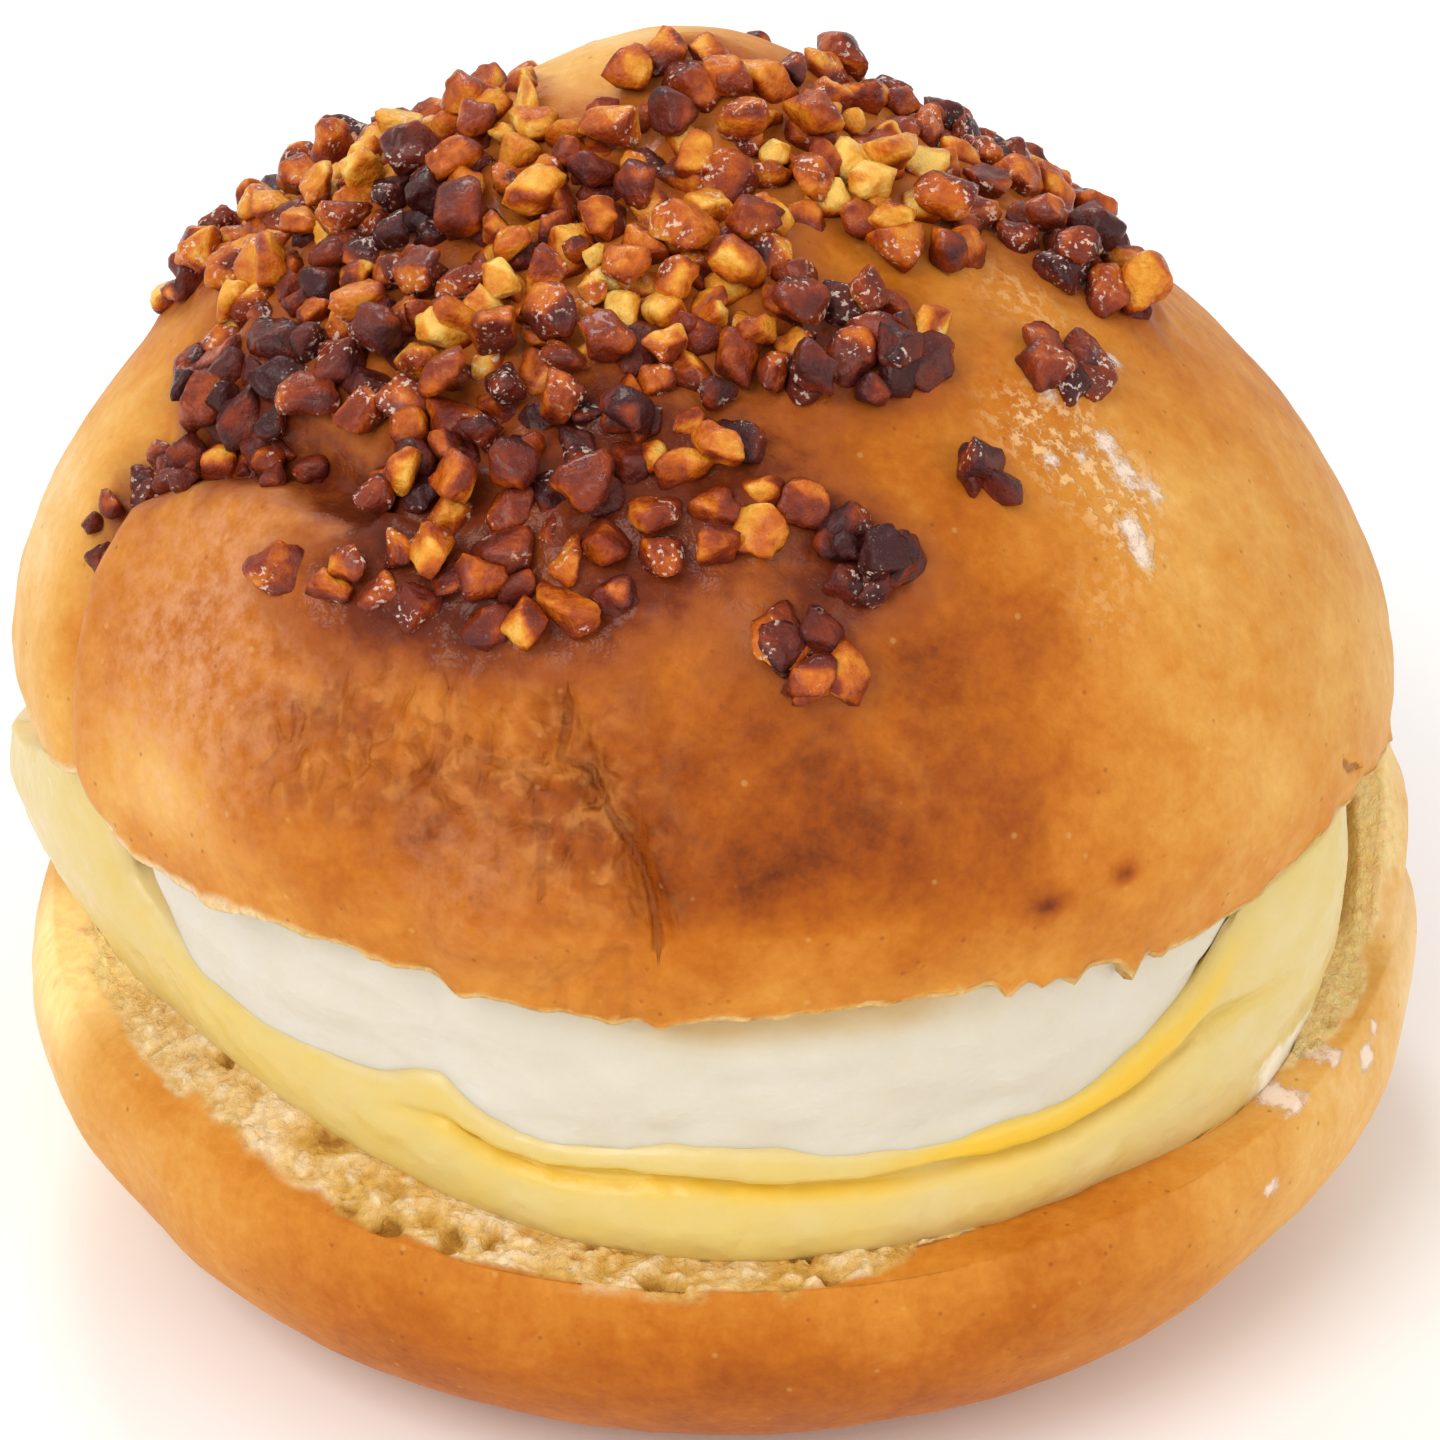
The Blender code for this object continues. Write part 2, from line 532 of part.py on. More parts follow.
def nut_bed():
    """Place on the spread crust, layer, size and corners of every chopped nut."""
    draw = np.random.default_rng(NUT_SEED)
    nuts = []
    for x, y, long, wide, turn, count, stacked in NUT_PATCHES.values():
        tilt = math.radians(turn)
        for layer, wanted in enumerate((count, stacked)):
            tries = 0
            while wanted > 0 and tries < NUT_TRIES:
                tries += 1
                reach = math.sqrt(draw.random())
                angle = 2.0 * math.pi * draw.random()
                size = mix(*NUT_SIZE, draw.random())
                along = reach * long * math.cos(angle)
                aside = reach * wide * math.sin(angle)
                over_x = (x + along * math.cos(tilt) - aside * math.sin(tilt)) * MM
                over_y = (y + along * math.sin(tilt) + aside * math.cos(tilt)) * MM
                if any(math.hypot(over_x - nut["x"], over_y - nut["y"])
                       < NUT_SPACING * (size + nut["size"])
                       for nut in nuts if nut["layer"] == layer):
                    continue
                wanted -= 1
                corners = nut_corners(draw, over_x, over_y, size, layer)
                nuts.append({"x": over_x, "y": over_y, "layer": layer, "size": size,
                             "corners": corners})
    return nuts


def nut_object(index, corners):
    """One chopped nut as the hull of its corners."""
    bm = bmesh.new()
    for corner in corners:
        bm.verts.new(corner)
    hull = bmesh.ops.convex_hull(bm, input=bm.verts)
    bmesh.ops.delete(bm, geom=hull["geom_interior"], context="VERTS")
    bmesh.ops.recalc_face_normals(bm, faces=bm.faces)
    return mesh_object("nut_%03d" % index, bm)


def keep_largest_body(bm):
    """Deletes sealed hollows and loose scraps, which are bodies of their own."""
    left = set(bm.verts)
    bodies = []
    while left:
        grown = [left.pop()]
        body = set(grown)
        while grown:
            vertex = grown.pop()
            for edge in vertex.link_edges:
                other = edge.other_vert(vertex)
                if other in left:
                    left.remove(other)
                    body.add(other)
                    grown.append(other)
        bodies.append(body)
    bodies.sort(key=len)
    loose = [vertex for body in bodies[:-1] for vertex in body]
    bmesh.ops.delete(bm, geom=loose, context="VERTS")


def bun_top():
    """The lid: a folded dome of crust with the chopped nuts fused to it."""
    azimuth = ring_azimuths()
    rim = around(azimuth, LID_RIM)
    rings = [lid_crust(azimuth, mix(rim, 1.0, index / LID_RISES))[0] for index in range(LID_RISES)]
    lid = solid_of_rings("bun_top", rings, (0.0, 0.0, 0.0), lid_crust(0.0, 1.0)[0])
    nuts = sorted(nut_bed(), key=lambda nut: (nut["layer"], -nut["size"]))[:NUT_SOLIDS]
    topping = bpy.data.collections.new("topping")
    for index, nut in enumerate(nuts):
        obj = nut_object(index, nut["corners"])
        bpy.context.scene.collection.objects.unlink(obj)
        topping.objects.link(obj)
    bpy.context.scene.collection.children.link(topping)
    fuse = lid.modifiers.new("fuse", "BOOLEAN")
    fuse.operation = "UNION"
    fuse.operand_type = "COLLECTION"
    fuse.collection = topping
    fuse.solver = "EXACT"
    depsgraph = bpy.context.evaluated_depsgraph_get()
    bm = bmesh.new()
    bm.from_object(lid, depsgraph)
    lid.modifiers.clear()
    for obj in list(topping.objects):
        bpy.data.objects.remove(obj)
    bpy.data.collections.remove(topping)
    keep_largest_body(bm)
    bmesh.ops.triangulate(bm, faces=bm.faces)
    bm.to_mesh(lid.data)
    bm.free()
    turn = Matrix(lid_turn().tolist())
    lid.matrix_world = Matrix.LocRotScale((LID_X, LID_Y, BASE_CUT + LID_GAP), turn, None)
    return lid


def build():
    """Clears the scene and builds the bun's four pieces under one empty."""
    for obj in list(bpy.data.objects):
        bpy.data.objects.remove(obj)
    bun = bpy.data.objects.new("bee_sting_bun", None)
    bun.location = (SHIFT_X, SHIFT_Y, 0.0)
    bpy.context.scene.collection.objects.link(bun)
    for make in (bun_base, custard, cream, bun_top):
        finish(make(), bun)


build()
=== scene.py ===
"""Looks of the bee sting bun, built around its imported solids.

Metres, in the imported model's frame: +Z up, and the bun's front faces -Y.
An azimuth is in degrees and turns anticlockwise from +X, seen from above. A rise runs
from 0 at a crust's lower edge to 1 at its top. Colours are sRGB, 0 to 255.
"""

import itertools
import math

import bmesh
import bpy
import numpy as np
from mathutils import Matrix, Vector


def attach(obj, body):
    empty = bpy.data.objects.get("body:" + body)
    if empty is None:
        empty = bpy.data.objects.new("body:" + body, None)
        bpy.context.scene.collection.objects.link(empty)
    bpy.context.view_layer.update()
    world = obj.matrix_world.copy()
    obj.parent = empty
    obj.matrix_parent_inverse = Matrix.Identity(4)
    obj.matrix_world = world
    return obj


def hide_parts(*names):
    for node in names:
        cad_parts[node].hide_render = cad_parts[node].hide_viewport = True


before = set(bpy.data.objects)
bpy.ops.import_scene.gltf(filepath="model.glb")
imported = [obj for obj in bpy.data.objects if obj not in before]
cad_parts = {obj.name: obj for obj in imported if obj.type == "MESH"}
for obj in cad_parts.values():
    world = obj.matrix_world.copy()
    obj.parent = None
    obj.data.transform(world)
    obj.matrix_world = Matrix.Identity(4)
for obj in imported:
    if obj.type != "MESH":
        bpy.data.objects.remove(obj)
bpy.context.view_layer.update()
MM = 0.001
TINY = 1e-12                  # keeps a length of 0 from dividing

# ---- the solids' own sizes: lower half
BASE_RADIUS_X = 0.0534
BASE_RADIUS_Y = 0.0517
BASE_FLAT = 0.0318
BASE_BELLY = 0.0170
BASE_CUT = 0.0226
BASE_RIM_INSET = 0.034
BASE_ROUND = 1.05
BASE_BELLY_RISE = 0.7
BASE_SWELL_FADE = 0.25
CUT_STEPS = (0.0008, 0.0018, 0.0030)
CRUMB_MOUND = (222.0, 24.0, 0.0031)
BASE_SWELLS = {
    "right_lump": (-4.0, 0.95, 9.0, 0.16, 0.0010),
    "left_flank": (200.0, 0.80, 18.0, 0.25, 0.0006),
    "front_left_dent": (213.0, 0.66, 5.0, 0.20, -0.0009),
    "front_right_dent": (322.0, 0.55, 9.0, 0.22, -0.0006),
    "back_dent": (96.0, 0.60, 22.0, 0.30, -0.0008),
}
HINGE = (-16.0, 6.0, 96.0, 124.0)               # azimuths where the halves hold together
HINGE_THICK = 0.0030
HINGE_LEAN = 0.35
HINGE_BULGE = 0.0012
HINGE_HEIGHT = 0.0100

# ---- the solids' own sizes: lid
LID_RADIUS_X = 0.0513
LID_RADIUS_Y = 0.0503
LID_HEIGHT = 0.0482
LID_GAP = 0.0124
LID_TILT = 11.4
LID_ROLL = 1.4
# where the lid's own frame starts in the bun's
LID_MIDDLE = np.array([-0.0010, -0.0002, BASE_CUT + LID_GAP])
LID_TUCK = -14.0
LID_ROUND = 1.08
LID_POINT = 1.18
CROWN_LEAN = -0.0030
LID_MAP = 0.075               # length of the crust from the crown to the rim, spread flat
LID_PROBE = 0.001
# rise at which the crust is cut off all round: 0 is where the cut face would be flat
LID_RIM = (
    (0, 0.060), (30, 0.030), (60, 0.000), (120, 0.000), (178, 0.000), (187, 0.014), (193, 0.046),
    (201, 0.080), (210, 0.084), (217, 0.052), (224, 0.034), (232, 0.044), (241, 0.041),
    (247, 0.030), (254, 0.012), (268, 0.008), (279, 0.018), (290, 0.028), (303, 0.026),
    (315, 0.022), (322, 0.044), (328, 0.080), (337, 0.098), (348, 0.085))
UNDERSIDE_PASSES = 5          # steps that find the height of the lid's underside
LID_SWELL_FADE = 0.10
LID_FOLD_FADE = 0.08
LID_SWELLS = {
    "left_shoulder": (188.0, 0.34, 16.0, 0.22, 0.0018),
    "front_left_lobe": (229.0, 0.34, 15.0, 0.20, 0.0013),
    "front_lump": (252.0, 0.13, 6.5, 0.11, 0.0015),
    "right_shoulder": (-20.0, 0.50, 45.0, 0.22, 0.0006),
    "back_lobe": (70.0, 0.35, 30.0, 0.25, 0.0008),
    "back_left_lobe": (135.0, 0.30, 20.0, 0.22, 0.0010),
}
HUMP = (-0.0035, 0.0085, 0.0150, 0.0062)
HUMP_SHARPNESS = 2.6
LID_FOLDS = {
    "left_fold": (((209, 0.02), (206, 0.20), (203, 0.34), (203, 0.43), (211, 0.485),
                   (224, 0.515), (234, 0.505)), 0.0021, 0.0021, 0.0014, 0.0085),
    "left_fold_top": (((202, 0.44), (198, 0.50), (196, 0.56), (195, 0.62)),
                      0.0016, 0.0022, 0.0, 0.005),
    "front_crack": (((266, 0.14), (263, 0.26), (257, 0.36)), 0.0012, 0.0014, 0.0, 0.005),
    "lump_side": (((247, 0.02), (247, 0.16), (251, 0.25)), 0.0008, 0.0016, 0.0, 0.005),
    "right_crease": (((302, 0.34), (290, 0.42), (284, 0.50)), 0.0008, 0.0030, 0.0, 0.005),
    "back_fold": (((118, 0.02), (112, 0.30), (100, 0.48)), 0.0014, 0.0026, 0.0, 0.005),
}

# ---- the solids' own sizes: filling
GAP = 0.0003
LIP_GAP = 0.0004
CUSTARD_FOOT = (
    (0, 0.0450), (45, 0.0446), (90, 0.0438), (135, 0.0456), (165, 0.0482), (181, 0.0500),
    (195, 0.0472), (208, 0.0454), (227, 0.0450), (244, 0.0453), (258, 0.0459), (281, 0.0463),
    (305, 0.0467), (326, 0.0479), (342, 0.0468))
CUSTARD_BROW = (
    (0, 0.0447), (45, 0.0444), (90, 0.0436), (135, 0.0458), (162, 0.0500), (180, 0.0538),
    (190, 0.0517), (203, 0.0476), (227, 0.0455), (248, 0.0456), (281, 0.0460), (305, 0.0463),
    (318, 0.0476), (331, 0.0492), (345, 0.0470))
CREASE_HEIGHT = (
    (0, 0.0290), (180, 0.0290), (236, 0.0308), (248, 0.0311), (259, 0.0300), (277, 0.0284),
    (295, 0.0286), (306, 0.0301), (316, 0.0326), (326, 0.0330))
CREASE_SHOWS = (236.0, 252.0, 312.0, 330.0)
CREASE_BETWEEN = (0.38, 0.70)
CREASE_OUT = 0.70
CREASE_DEPTH = 0.0009
BEAD_BULGE = 0.0009
WALL_INSET = 0.0006
WALL_THICK = 0.0008
CREAM_SHOWS = (198.0, 204.0, 315.0, 321.0)
CREAM_REACH = (
    (0, 0.0400), (45, 0.0340), (90, 0.0270), (135, 0.0310), (165, 0.0370), (185, 0.0415),
    (200, 0.0449), (232, 0.0450), (270, 0.0453), (305, 0.0458), (317, 0.0461), (330, 0.0438))
CREAM_LEAN = 0.0012
CREAM_BELLY = (0.80, 0.45)
CREAM_FOOT = (
    (0, 0.0300), (45, 0.0270), (90, 0.0246), (135, 0.0258), (165, 0.0300), (185, 0.0345),
    (198, 0.0374), (208, 0.0341), (225, 0.0325), (238, 0.0332), (244, 0.0347), (248, 0.0327),
    (268, 0.0322), (290, 0.0311), (304, 0.0318), (312, 0.0350), (319, 0.0386), (335, 0.0350))
CREAM_FOOT_MIDDLE = 0.0288
CREAM_SUNK = 0.0009           # the visible cream sinks into the custard by this much
CREAM_SPREAD = 0.0004         # and spreads out over it by this much
CUSTARD_SUNK = 0.0005         # the visible custard sinks into the bread by this much

# ---- the solids' own sizes: chopped nuts
NUT_SEED = 29
NUT_TRIES = 600
NUT_CORNERS = 10
NUT_JITTER = 0.30
NUT_SIZE = (0.0019, 0.0029)
NUT_WIDE = 0.80
NUT_THICK = 0.66
NUT_SPACING = 0.60
NUT_SUNK = 0.28
NUT_LIFT = 0.0019
NUT_TILT = 0.45
# each patch, in millimetres of the spread crust: middle x and y, half length, half width,
# turn in degrees, count on the crust and count on top of those
NUT_PATCHES = {
    "left_back": (-26.5, 3.5, 9.0, 6.0, 0, 22, 3),
    "left": (-27.6, -16.0, 8.5, 4.2, -40, 20, 0),
    "left_middle": (-25.0, -6.5, 7.0, 4.0, 10, 9, 2),
    "middle": (-9.0, -18.5, 15.0, 11.0, -10, 60, 12),
    "top": (-16.5, -3.0, 7.5, 7.0, 20, 17, 4),
    "crown": (3.0, -1.8, 7.0, 1.8, 5, 9, 0),
    "crown_middle": (-1.5, -8.5, 7.5, 4.0, 0, 10, 2),
    "crown_right": (15.5, 3.5, 8.5, 5.5, 25, 15, 0),
    "right": (10.5, -8.5, 7.5, 5.5, -20, 10, 1),
    "right_cluster": (24.0, -6.0, 5.2, 3.6, 20, 10, 1),
    "right_dark": (8.5, -22.5, 6.5, 4.0, 12, 9, 4),
    "front": (-9.0, -31.0, 12.0, 3.4, 0, 15, 2),
    "low_left": (-20.0, -37.0, 4.5, 2.2, -10, 5, 0),
    "low_middle": (-9.0, -38.5, 6.5, 2.8, 10, 7, 0),
    "low_right": (1.5, -35.5, 5.5, 1.8, 10, 4, 0),
    "burnt": (10.3, -36.2, 2.6, 1.6, 0, 3, 1),
    "burnt_low": (7.0, -43.8, 2.6, 1.2, -15, 3, 0),
    "pair": (22.5, -18.5, 2.8, 1.0, 20, 3, 0),
    "lone": (17.5, -29.3, 0.4, 0.4, 0, 1, 0),
    "lone_left": (-27.7, -33.0, 0.4, 0.4, 0, 1, 0),
    "back": (4.0, 26.0, 22.0, 7.0, 0, 14, 1),
    "back_left": (-24.0, 18.0, 7.0, 4.5, 10, 7, 1),
    "back_right": (22.0, 17.0, 6.0, 5.0, 0, 5, 0),
}
SHIFT = np.array([0.00036, 0.00024, 0.0])

# ---- fineness of the visible meshes
FINEST_AZIMUTH = 256.0        # points lie closest together on the side that the photo shows
FINEST_SHARE = 0.48
LID_AZIMUTHS = 480
LID_RISES = 194
LID_LOW_SHARE = 0.62          # share of the lid's rings that lie in its lower part
LID_LOW_PART = 0.48
LID_LAST_RISE = 0.997
CUT_SHARES = (0.15, 0.35, 0.55, 0.72, 0.80, 0.84, 0.875, 0.905, 0.93, 0.95, 0.967, 0.982)
BASE_AZIMUTHS = 500
BASE_RISES = 96
CRUMB_STEPS = (9, 7, 7, 22)   # rings between the rings of the torn cut face
FILLING_AZIMUTHS = 460
CUSTARD_RINGS = 46
CREAM_RINGS = 40
NUT_CRISP = 14.0              # higher leaves a nut's edges sharper
NUT_PLUMP = 1.12              # makes up for the rounded corners
NUT_REACH = 0.0002            # a facet lies at least this far from its nut's middle
NUT_FINENESS = 4
CHIP_FINENESS = 3

# ---- crust colouring: azimuth, rise, spread of azimuth, spread of rise, more or less brown
LID_BROWN = 0.56
LID_SHADES = {
    "front": (272.0, 0.26, 26.0, 0.16, 0.37),
    "top": (262.0, 0.62, 50.0, 0.16, 0.14),
    "front_edge": (264.0, 0.03, 42.0, 0.06, -0.12),
    "front_lump": (253.0, 0.14, 5.5, 0.09, -0.06),
    # browner in the valley on the lump's left side: painted shade
    "lump_side": (246.8, 0.24, 2.6, 0.07, 0.16),
    "front_low": (272.0, 0.12, 15.0, 0.05, -0.11),
    "crack_side": (259.0, 0.20, 6.0, 0.09, -0.08),
    "front_left": (236.0, 0.30, 9.0, 0.12, 0.14),
    # browner in the diagonal crease: painted shade
    "right_crease": (292.0, 0.41, 9.0, 0.06, 0.22),
    "left": (190.0, 0.32, 15.0, 0.20, -0.46),
    "left_low": (197.0, 0.10, 15.0, 0.12, -0.30),
    "lobe_low": (224.0, 0.18, 10.0, 0.08, -0.26),
    "right": (322.0, 0.24, 20.0, 0.18, -0.24),
    "far_right": (352.0, 0.25, 16.0, 0.30, -0.24),
    "upper_right": (322.0, 0.48, 14.0, 0.12, -0.18),
}
# middle x and y on the spread crust, reach, more or less brown
LID_SPOTS = (
    (-6.0, 6.5, 9.5, -0.42), (-22.0, -6.5, 4.5, -0.16), (-33.8, -20.3, 2.4, -0.34),
    (-49.5, -22.3, 2.0, 0.16), (29.2, -57.3, 1.7, 0.34), (34.9, -51.8, 1.3, 0.42))
# pale, pinkish skin, partly its own colour and partly a painted sheen, in the same way
PALE_SHEEN_SPOTS = ((-33.0, -31.0, 11.0, 0.60), (-20.0, -57.0, 7.0, 0.32), (-43.0, -38.0, 10.0, 0.45))
# dry flaky crust, and patches that are nearly white, in the same way
DRY_SPOTS = (
    (21.0, -24.0, 2.6, 1.0), (23.5, -25.4, 2.4, 1.0), (25.8, -24.8, 2.6, 1.0),
    (27.6, -27.0, 2.2, 1.0), (29.2, -29.0, 1.8, 0.9), (24.8, -22.0, 2.0, 0.7),
    (28.6, -24.0, 2.0, 0.9), (20.0, -12.5, 2.6, 0.5), (27.0, -34.0, 2.6, 0.3),
    (23.5, -15.0, 2.2, 0.4))
MILK_SPOTS = (
    (26.0, -22.0, 1.0, 1.0), (27.6, -23.7, 1.3, 1.0), (29.8, -23.6, 1.0, 0.8),
    (28.2, -27.4, 1.1, 1.0), (29.3, -29.0, 1.1, 1.0), (22.3, -25.7, 0.9, 0.8),
    (22.0, -21.2, 0.8, 0.8), (26.2, -14.8, 1.0, 0.9), (24.4, -24.4, 0.9, 0.8))
# each crack: path of (azimuth, rise), depth and half width of its banks, how much of a crack
LID_CRACKS = {
    "main": (((258, 0.372), (257.5, 0.322), (260, 0.312), (262, 0.272), (264, 0.242),
              (265, 0.204), (265.5, 0.157), (266, 0.107)), 0.0004, 0.0009, 1.0),
    "second": (((254.5, 0.299), (256, 0.277), (257, 0.239), (257, 0.185)), 0.0003, 0.0008, 0.45),
    "lump_left": (((245.5, 0.324), (247, 0.29), (248, 0.274), (249.5, 0.259)),
                  0.0007, 0.0013, 0.40),
    "lump_top": (((249, 0.289), (250.5, 0.287), (250, 0.324)), 0.0004, 0.0006, 0.35),
    "across": (((250, 0.324), (251.5, 0.307), (254, 0.307), (256.5, 0.314)), 0.0003, 0.0008, 0.35),
    "flap": (((256.5, 0.032), (260.5, 0.077), (263.5, 0.102)), 0.0003, 0.0008, 0.20),
    "flap_side": (((263.5, 0.102), (264, 0.06), (263.5, 0.0)), 0.0003, 0.0008, 0.25),
    "far_right": (((332.5, 0.175), (333.5, 0.158), (335.0, 0.150)), 0.0004, 0.0005, 0.90),
}
CRACK_WANDER = 0.0003         # how far noise pulls a crack off its path
CRACK_NEAR = 0.0009
CRACK_FAR = 5.0
# wrinkled skin: azimuth, rise, spread of azimuth, spread of rise, amount
WRINKLES = {
    "below_nuts": (245.0, 0.33, 13.0, 0.07, 1.0),
    "left": (238.0, 0.26, 8.0, 0.07, 0.7),
    "front": (260.0, 0.24, 7.0, 0.11, 0.9),
    "right": (284.0, 0.34, 8.0, 0.07, 0.3),
    "far_right": (318.0, 0.40, 12.0, 0.07, 0.2),
    "rim": (258.0, 0.06, 5.0, 0.05, 0.4),
}
BASE_BROWN = 0.52
BASE_SHADES = {
    "front": (268.0, 0.60, 30.0, 0.40, 0.20),
    "front_left": (240.0, 0.65, 12.0, 0.40, 0.06),
    "left": (216.0, 0.70, 12.0, 0.40, -0.14),
    "far_left": (190.0, 0.80, 15.0, 0.50, -0.54),
    "right": (328.0, 0.80, 16.0, 0.45, -0.34),
    "far_right": (354.0, 0.80, 14.0, 0.50, -0.50),
}
# share of the torn face, from the rim, that is still browned
CUT_CRUST = (
    (0, 0.20), (60, 0.10), (120, 0.10), (180, 0.42), (200, 0.44), (215, 0.38), (228, 0.28),
    (240, 0.12), (255, 0.04), (275, 0.06), (284, 0.30), (291, 0.85), (298, 1.30), (318, 1.30),
    (326, 0.70), (334, 0.34), (348, 0.34))
# dabs of cream on the lower half: azimuth, rise, spread of azimuth, spread of rise, amount
BASE_DABS = {
    "high": (336.0, 0.89, 1.5, 0.055, 1.2),
    "high_streak": (339.0, 0.94, 0.8, 0.040, 0.8),
    "low": (319.5, 0.79, 1.1, 0.040, 1.1),
    "rim": (325.0, 1.00, 1.8, 0.035, 1.1),
    "pocket": (332.0, 1.00, 1.6, 0.030, 0.9),
}
HINGE_YOLK = (0.0305, 0.0335)                   # heights between which the hinge turns to custard
CUSTARD_SPILT = (180.0, 188.0, 197.0, 207.0)    # azimuths where custard has run over the rim
PALE_EDGE = (196.0, 202.0, 228.0, 240.0)        # azimuths where the lid's rim is pale crumb
# teeth of torn crust that hang down from the lid's rim: azimuth, half width, drop
RIM_TEETH = (
    (262.5, 1.6, 0.0007), (266.0, 0.9, 0.0005), (294.6, 0.9, 0.0013), (297.4, 0.7, 0.0006),
    (300.4, 0.8, 0.0009), (306.2, 0.7, 0.0016), (309.5, 0.6, 0.0006), (250.0, 1.2, 0.0005),
    (242.0, 0.9, 0.0004))

# ---- caramel and nuts
CARAMEL_REACH = 1.36          # a nut's caramel fades over this many of its half lengths
CARAMEL_RISE = 0.00120
CARAMEL_MOST = 1.5
# middle x and y on the spread crust, reach, amount
CARAMEL_SPOTS = (
    (-30.0, -18.0, 5.0, 0.8), (-18.5, -34.5, 6.5, 2.0), (-3.0, -33.0, 7.0, 1.6),
    (5.0, -34.0, 5.0, 1.2), (8.5, -40.0, 3.6, 1.7), (9.0, -22.0, 4.0, 0.7), (-6.0, 8.0, 8.0, -2.6),
    (22.5, -18.5, 4.5, -1.8), (17.5, -29.3, 3.5, -1.6), (15.0, -13.0, 6.0, -1.2),
    (-22.5, -38.0, 3.6, 1.3), (-16.0, -41.0, 3.8, 1.7), (-8.5, -41.0, 4.4, 1.7),
    (-2.0, -40.0, 3.6, 1.0))
CHIP_SEED = 12
# for each class of chips: half length, tries for each nut of a patch, the least share of
# two half lengths between neighbours, the layer that they lie on, and how far they spread as
# a share of their patch
CHIP_CLASSES = (
    ((0.0021, 0.0030), 26, 0.47, 0.30, 1.05),
    ((0.0014, 0.0020), 5, 0.47, 0.46, 1.05),
    ((0.0020, 0.0029), 6, 0.66, 1.00, 0.80),
    ((0.0014, 0.0020), 2, 0.60, 0.85, 0.80),
)
# nuts of their own: middle x and y on the spread crust, and half length in millimetres
CHIPS_ALONE = (
    (17.0, -29.0, 2.7), (18.5, -29.6, 2.3), (21.2, -17.6, 2.4), (24.4, -18.4, 2.3),
    (23.0, -20.0, 2.1), (25.2, -16.9, 1.8), (9.0, -35.2, 2.6), (12.2, -36.6, 2.5),
    (11.0, -38.3, 2.3), (9.0, -38.8, 2.0), (5.2, -43.4, 2.8), (8.8, -44.4, 2.8), (7.2, -42.2, 2.3),
    (6.6, -45.6, 1.9))
CHIPS_PILED = 9               # patches with fewer nuts than this have no chips on top
CREASE_CHIPS = 46
CREASE_CHIP_SIZE = (0.0007, 0.0022)
CREASE_CHIP_TURN = 2.0        # spread of how far they stray from the crease in azimuth,
CREASE_CHIP_RISE = (0.004, 0.012)               # and its middle and spread in rise
TONE_SEED = 41
NUT_TONE = 0.52
NUT_TONES = 0.17              # spread of the tones from nut to nut, and from facet to facet
FACET_TONES = 0.18
NUT_UNEVEN = 0.15             # how uneven a nut's facets are, and the seed of that noise
NUT_NOISE = 21
SUNK_TONE = 0.80              # a nut's tone where it is sunk in caramel
SUNK_SHARE = 0.75
CARAMEL_LINE = (0.0008, -0.0002)                # heights over the caramel where it starts
# middle x and y on the spread crust, reach, and how much darker a nut is there
TONE_SPOTS = (
    (-17.0, -5.5, 3.2, 0.42), (-16.5, -10.5, 3.6, 0.42), (-14.5, -16.0, 2.6, 0.30),
    (-16.0, 3.5, 7.0, -0.26), (-4.5, -13.0, 2.6, 0.45), (-32.0, -17.0, 4.5, 0.32),
    (-24.0, -20.5, 4.6, 0.34), (-6.5, -28.0, 3.6, 0.40), (-10.0, -33.0, 9.0, 0.20),
    (-27.0, -13.0, 9.0, 0.14), (8.5, -23.5, 5.0, 0.42), (10.3, -36.2, 3.6, 0.55),
    (6.5, -43.0, 2.4, 0.45), (17.5, -29.3, 2.5, 0.50), (5.5, -1.5, 4.0, 0.30),
    (-2.5, -1.5, 2.5, 0.30), (-30.0, 9.0, 8.0, 0.16), (-26.0, -1.0, 5.0, -0.12),
    (24.0, -6.0, 6.0, 0.30), (16.0, 8.0, 5.0, 0.25), (22.5, -18.5, 3.0, 0.36),
    (-5.0, -19.0, 8.0, -0.24), (-28.0, -8.0, 3.5, -0.26), (12.0, -8.0, 7.5, -0.34),
    (-27.7, -33.0, 2.0, -0.20), (-9.0, -39.0, 2.5, -0.20), (-17.5, -0.5, 4.5, -0.24))
# the darkest tone of each kind, and how much of a glaze it has
NUT_KINDS = {
    "nuts_pale": (0.36, 0.05),
    "nuts_amber": (0.56, 0.10),
    "nuts_mahogany": (0.78, 0.16),
    "nuts_burnt": (9.0, 0.10),
}

# ---- relief and colouring of the visible pieces: noise is a size and a seed, and its octaves
# where they aren't 2; bubbles are a size, a seed and the share of them that is there
LID_WAVES = (0.0105, 1)
LID_WAVE_HEIGHT = 0.00026
LID_BUMPS = (0.0026, 3)
LID_BUMP_HEIGHT = 0.00008
WRINKLE_FOLDS = (0.0036, 6)
WRINKLE_FINE = (0.0022, 8, 1)
WRINKLE_DEPTH = 0.00070
RAGGED_RIM = (0.0024, 9)
RAGGED_HEIGHT = 0.00040
RAGGED_SHARE = 0.02           # share of the lid's height over which its rim is ragged,
TOOTH_SHARE = 0.014           # over which teeth hang from it,
EDGE_WIDE = (0.007, 0.020)    # and over which it is crumb, at its browned and its pale part
EDGE_RAGGED = (0.0016, 14)
CUT_UNEVEN = (0.0018, 17)
CUT_HEIGHT = 0.0005
CREASE_CARAMEL = 0.0034       # how far caramel spreads from the left crease
CREASE_CARAMEL_RISE = (0.32, 0.42)              # rises between which it starts
BASE_WAVES = (0.0115, 35)
BASE_WAVE_HEIGHT = 0.00022
BASE_BUMPS = (0.0028, 37)
BASE_BUMP_HEIGHT = 0.00006
CUT_RAGGED = (0.0024, 31)
CRUMB_DRIFT = (0.0016, 81)
CRUMB_BEND = 0.0007
CRUMB_HOLES = (0.0030, 33, 0.40)
HOLE_DEPTH = 0.0009
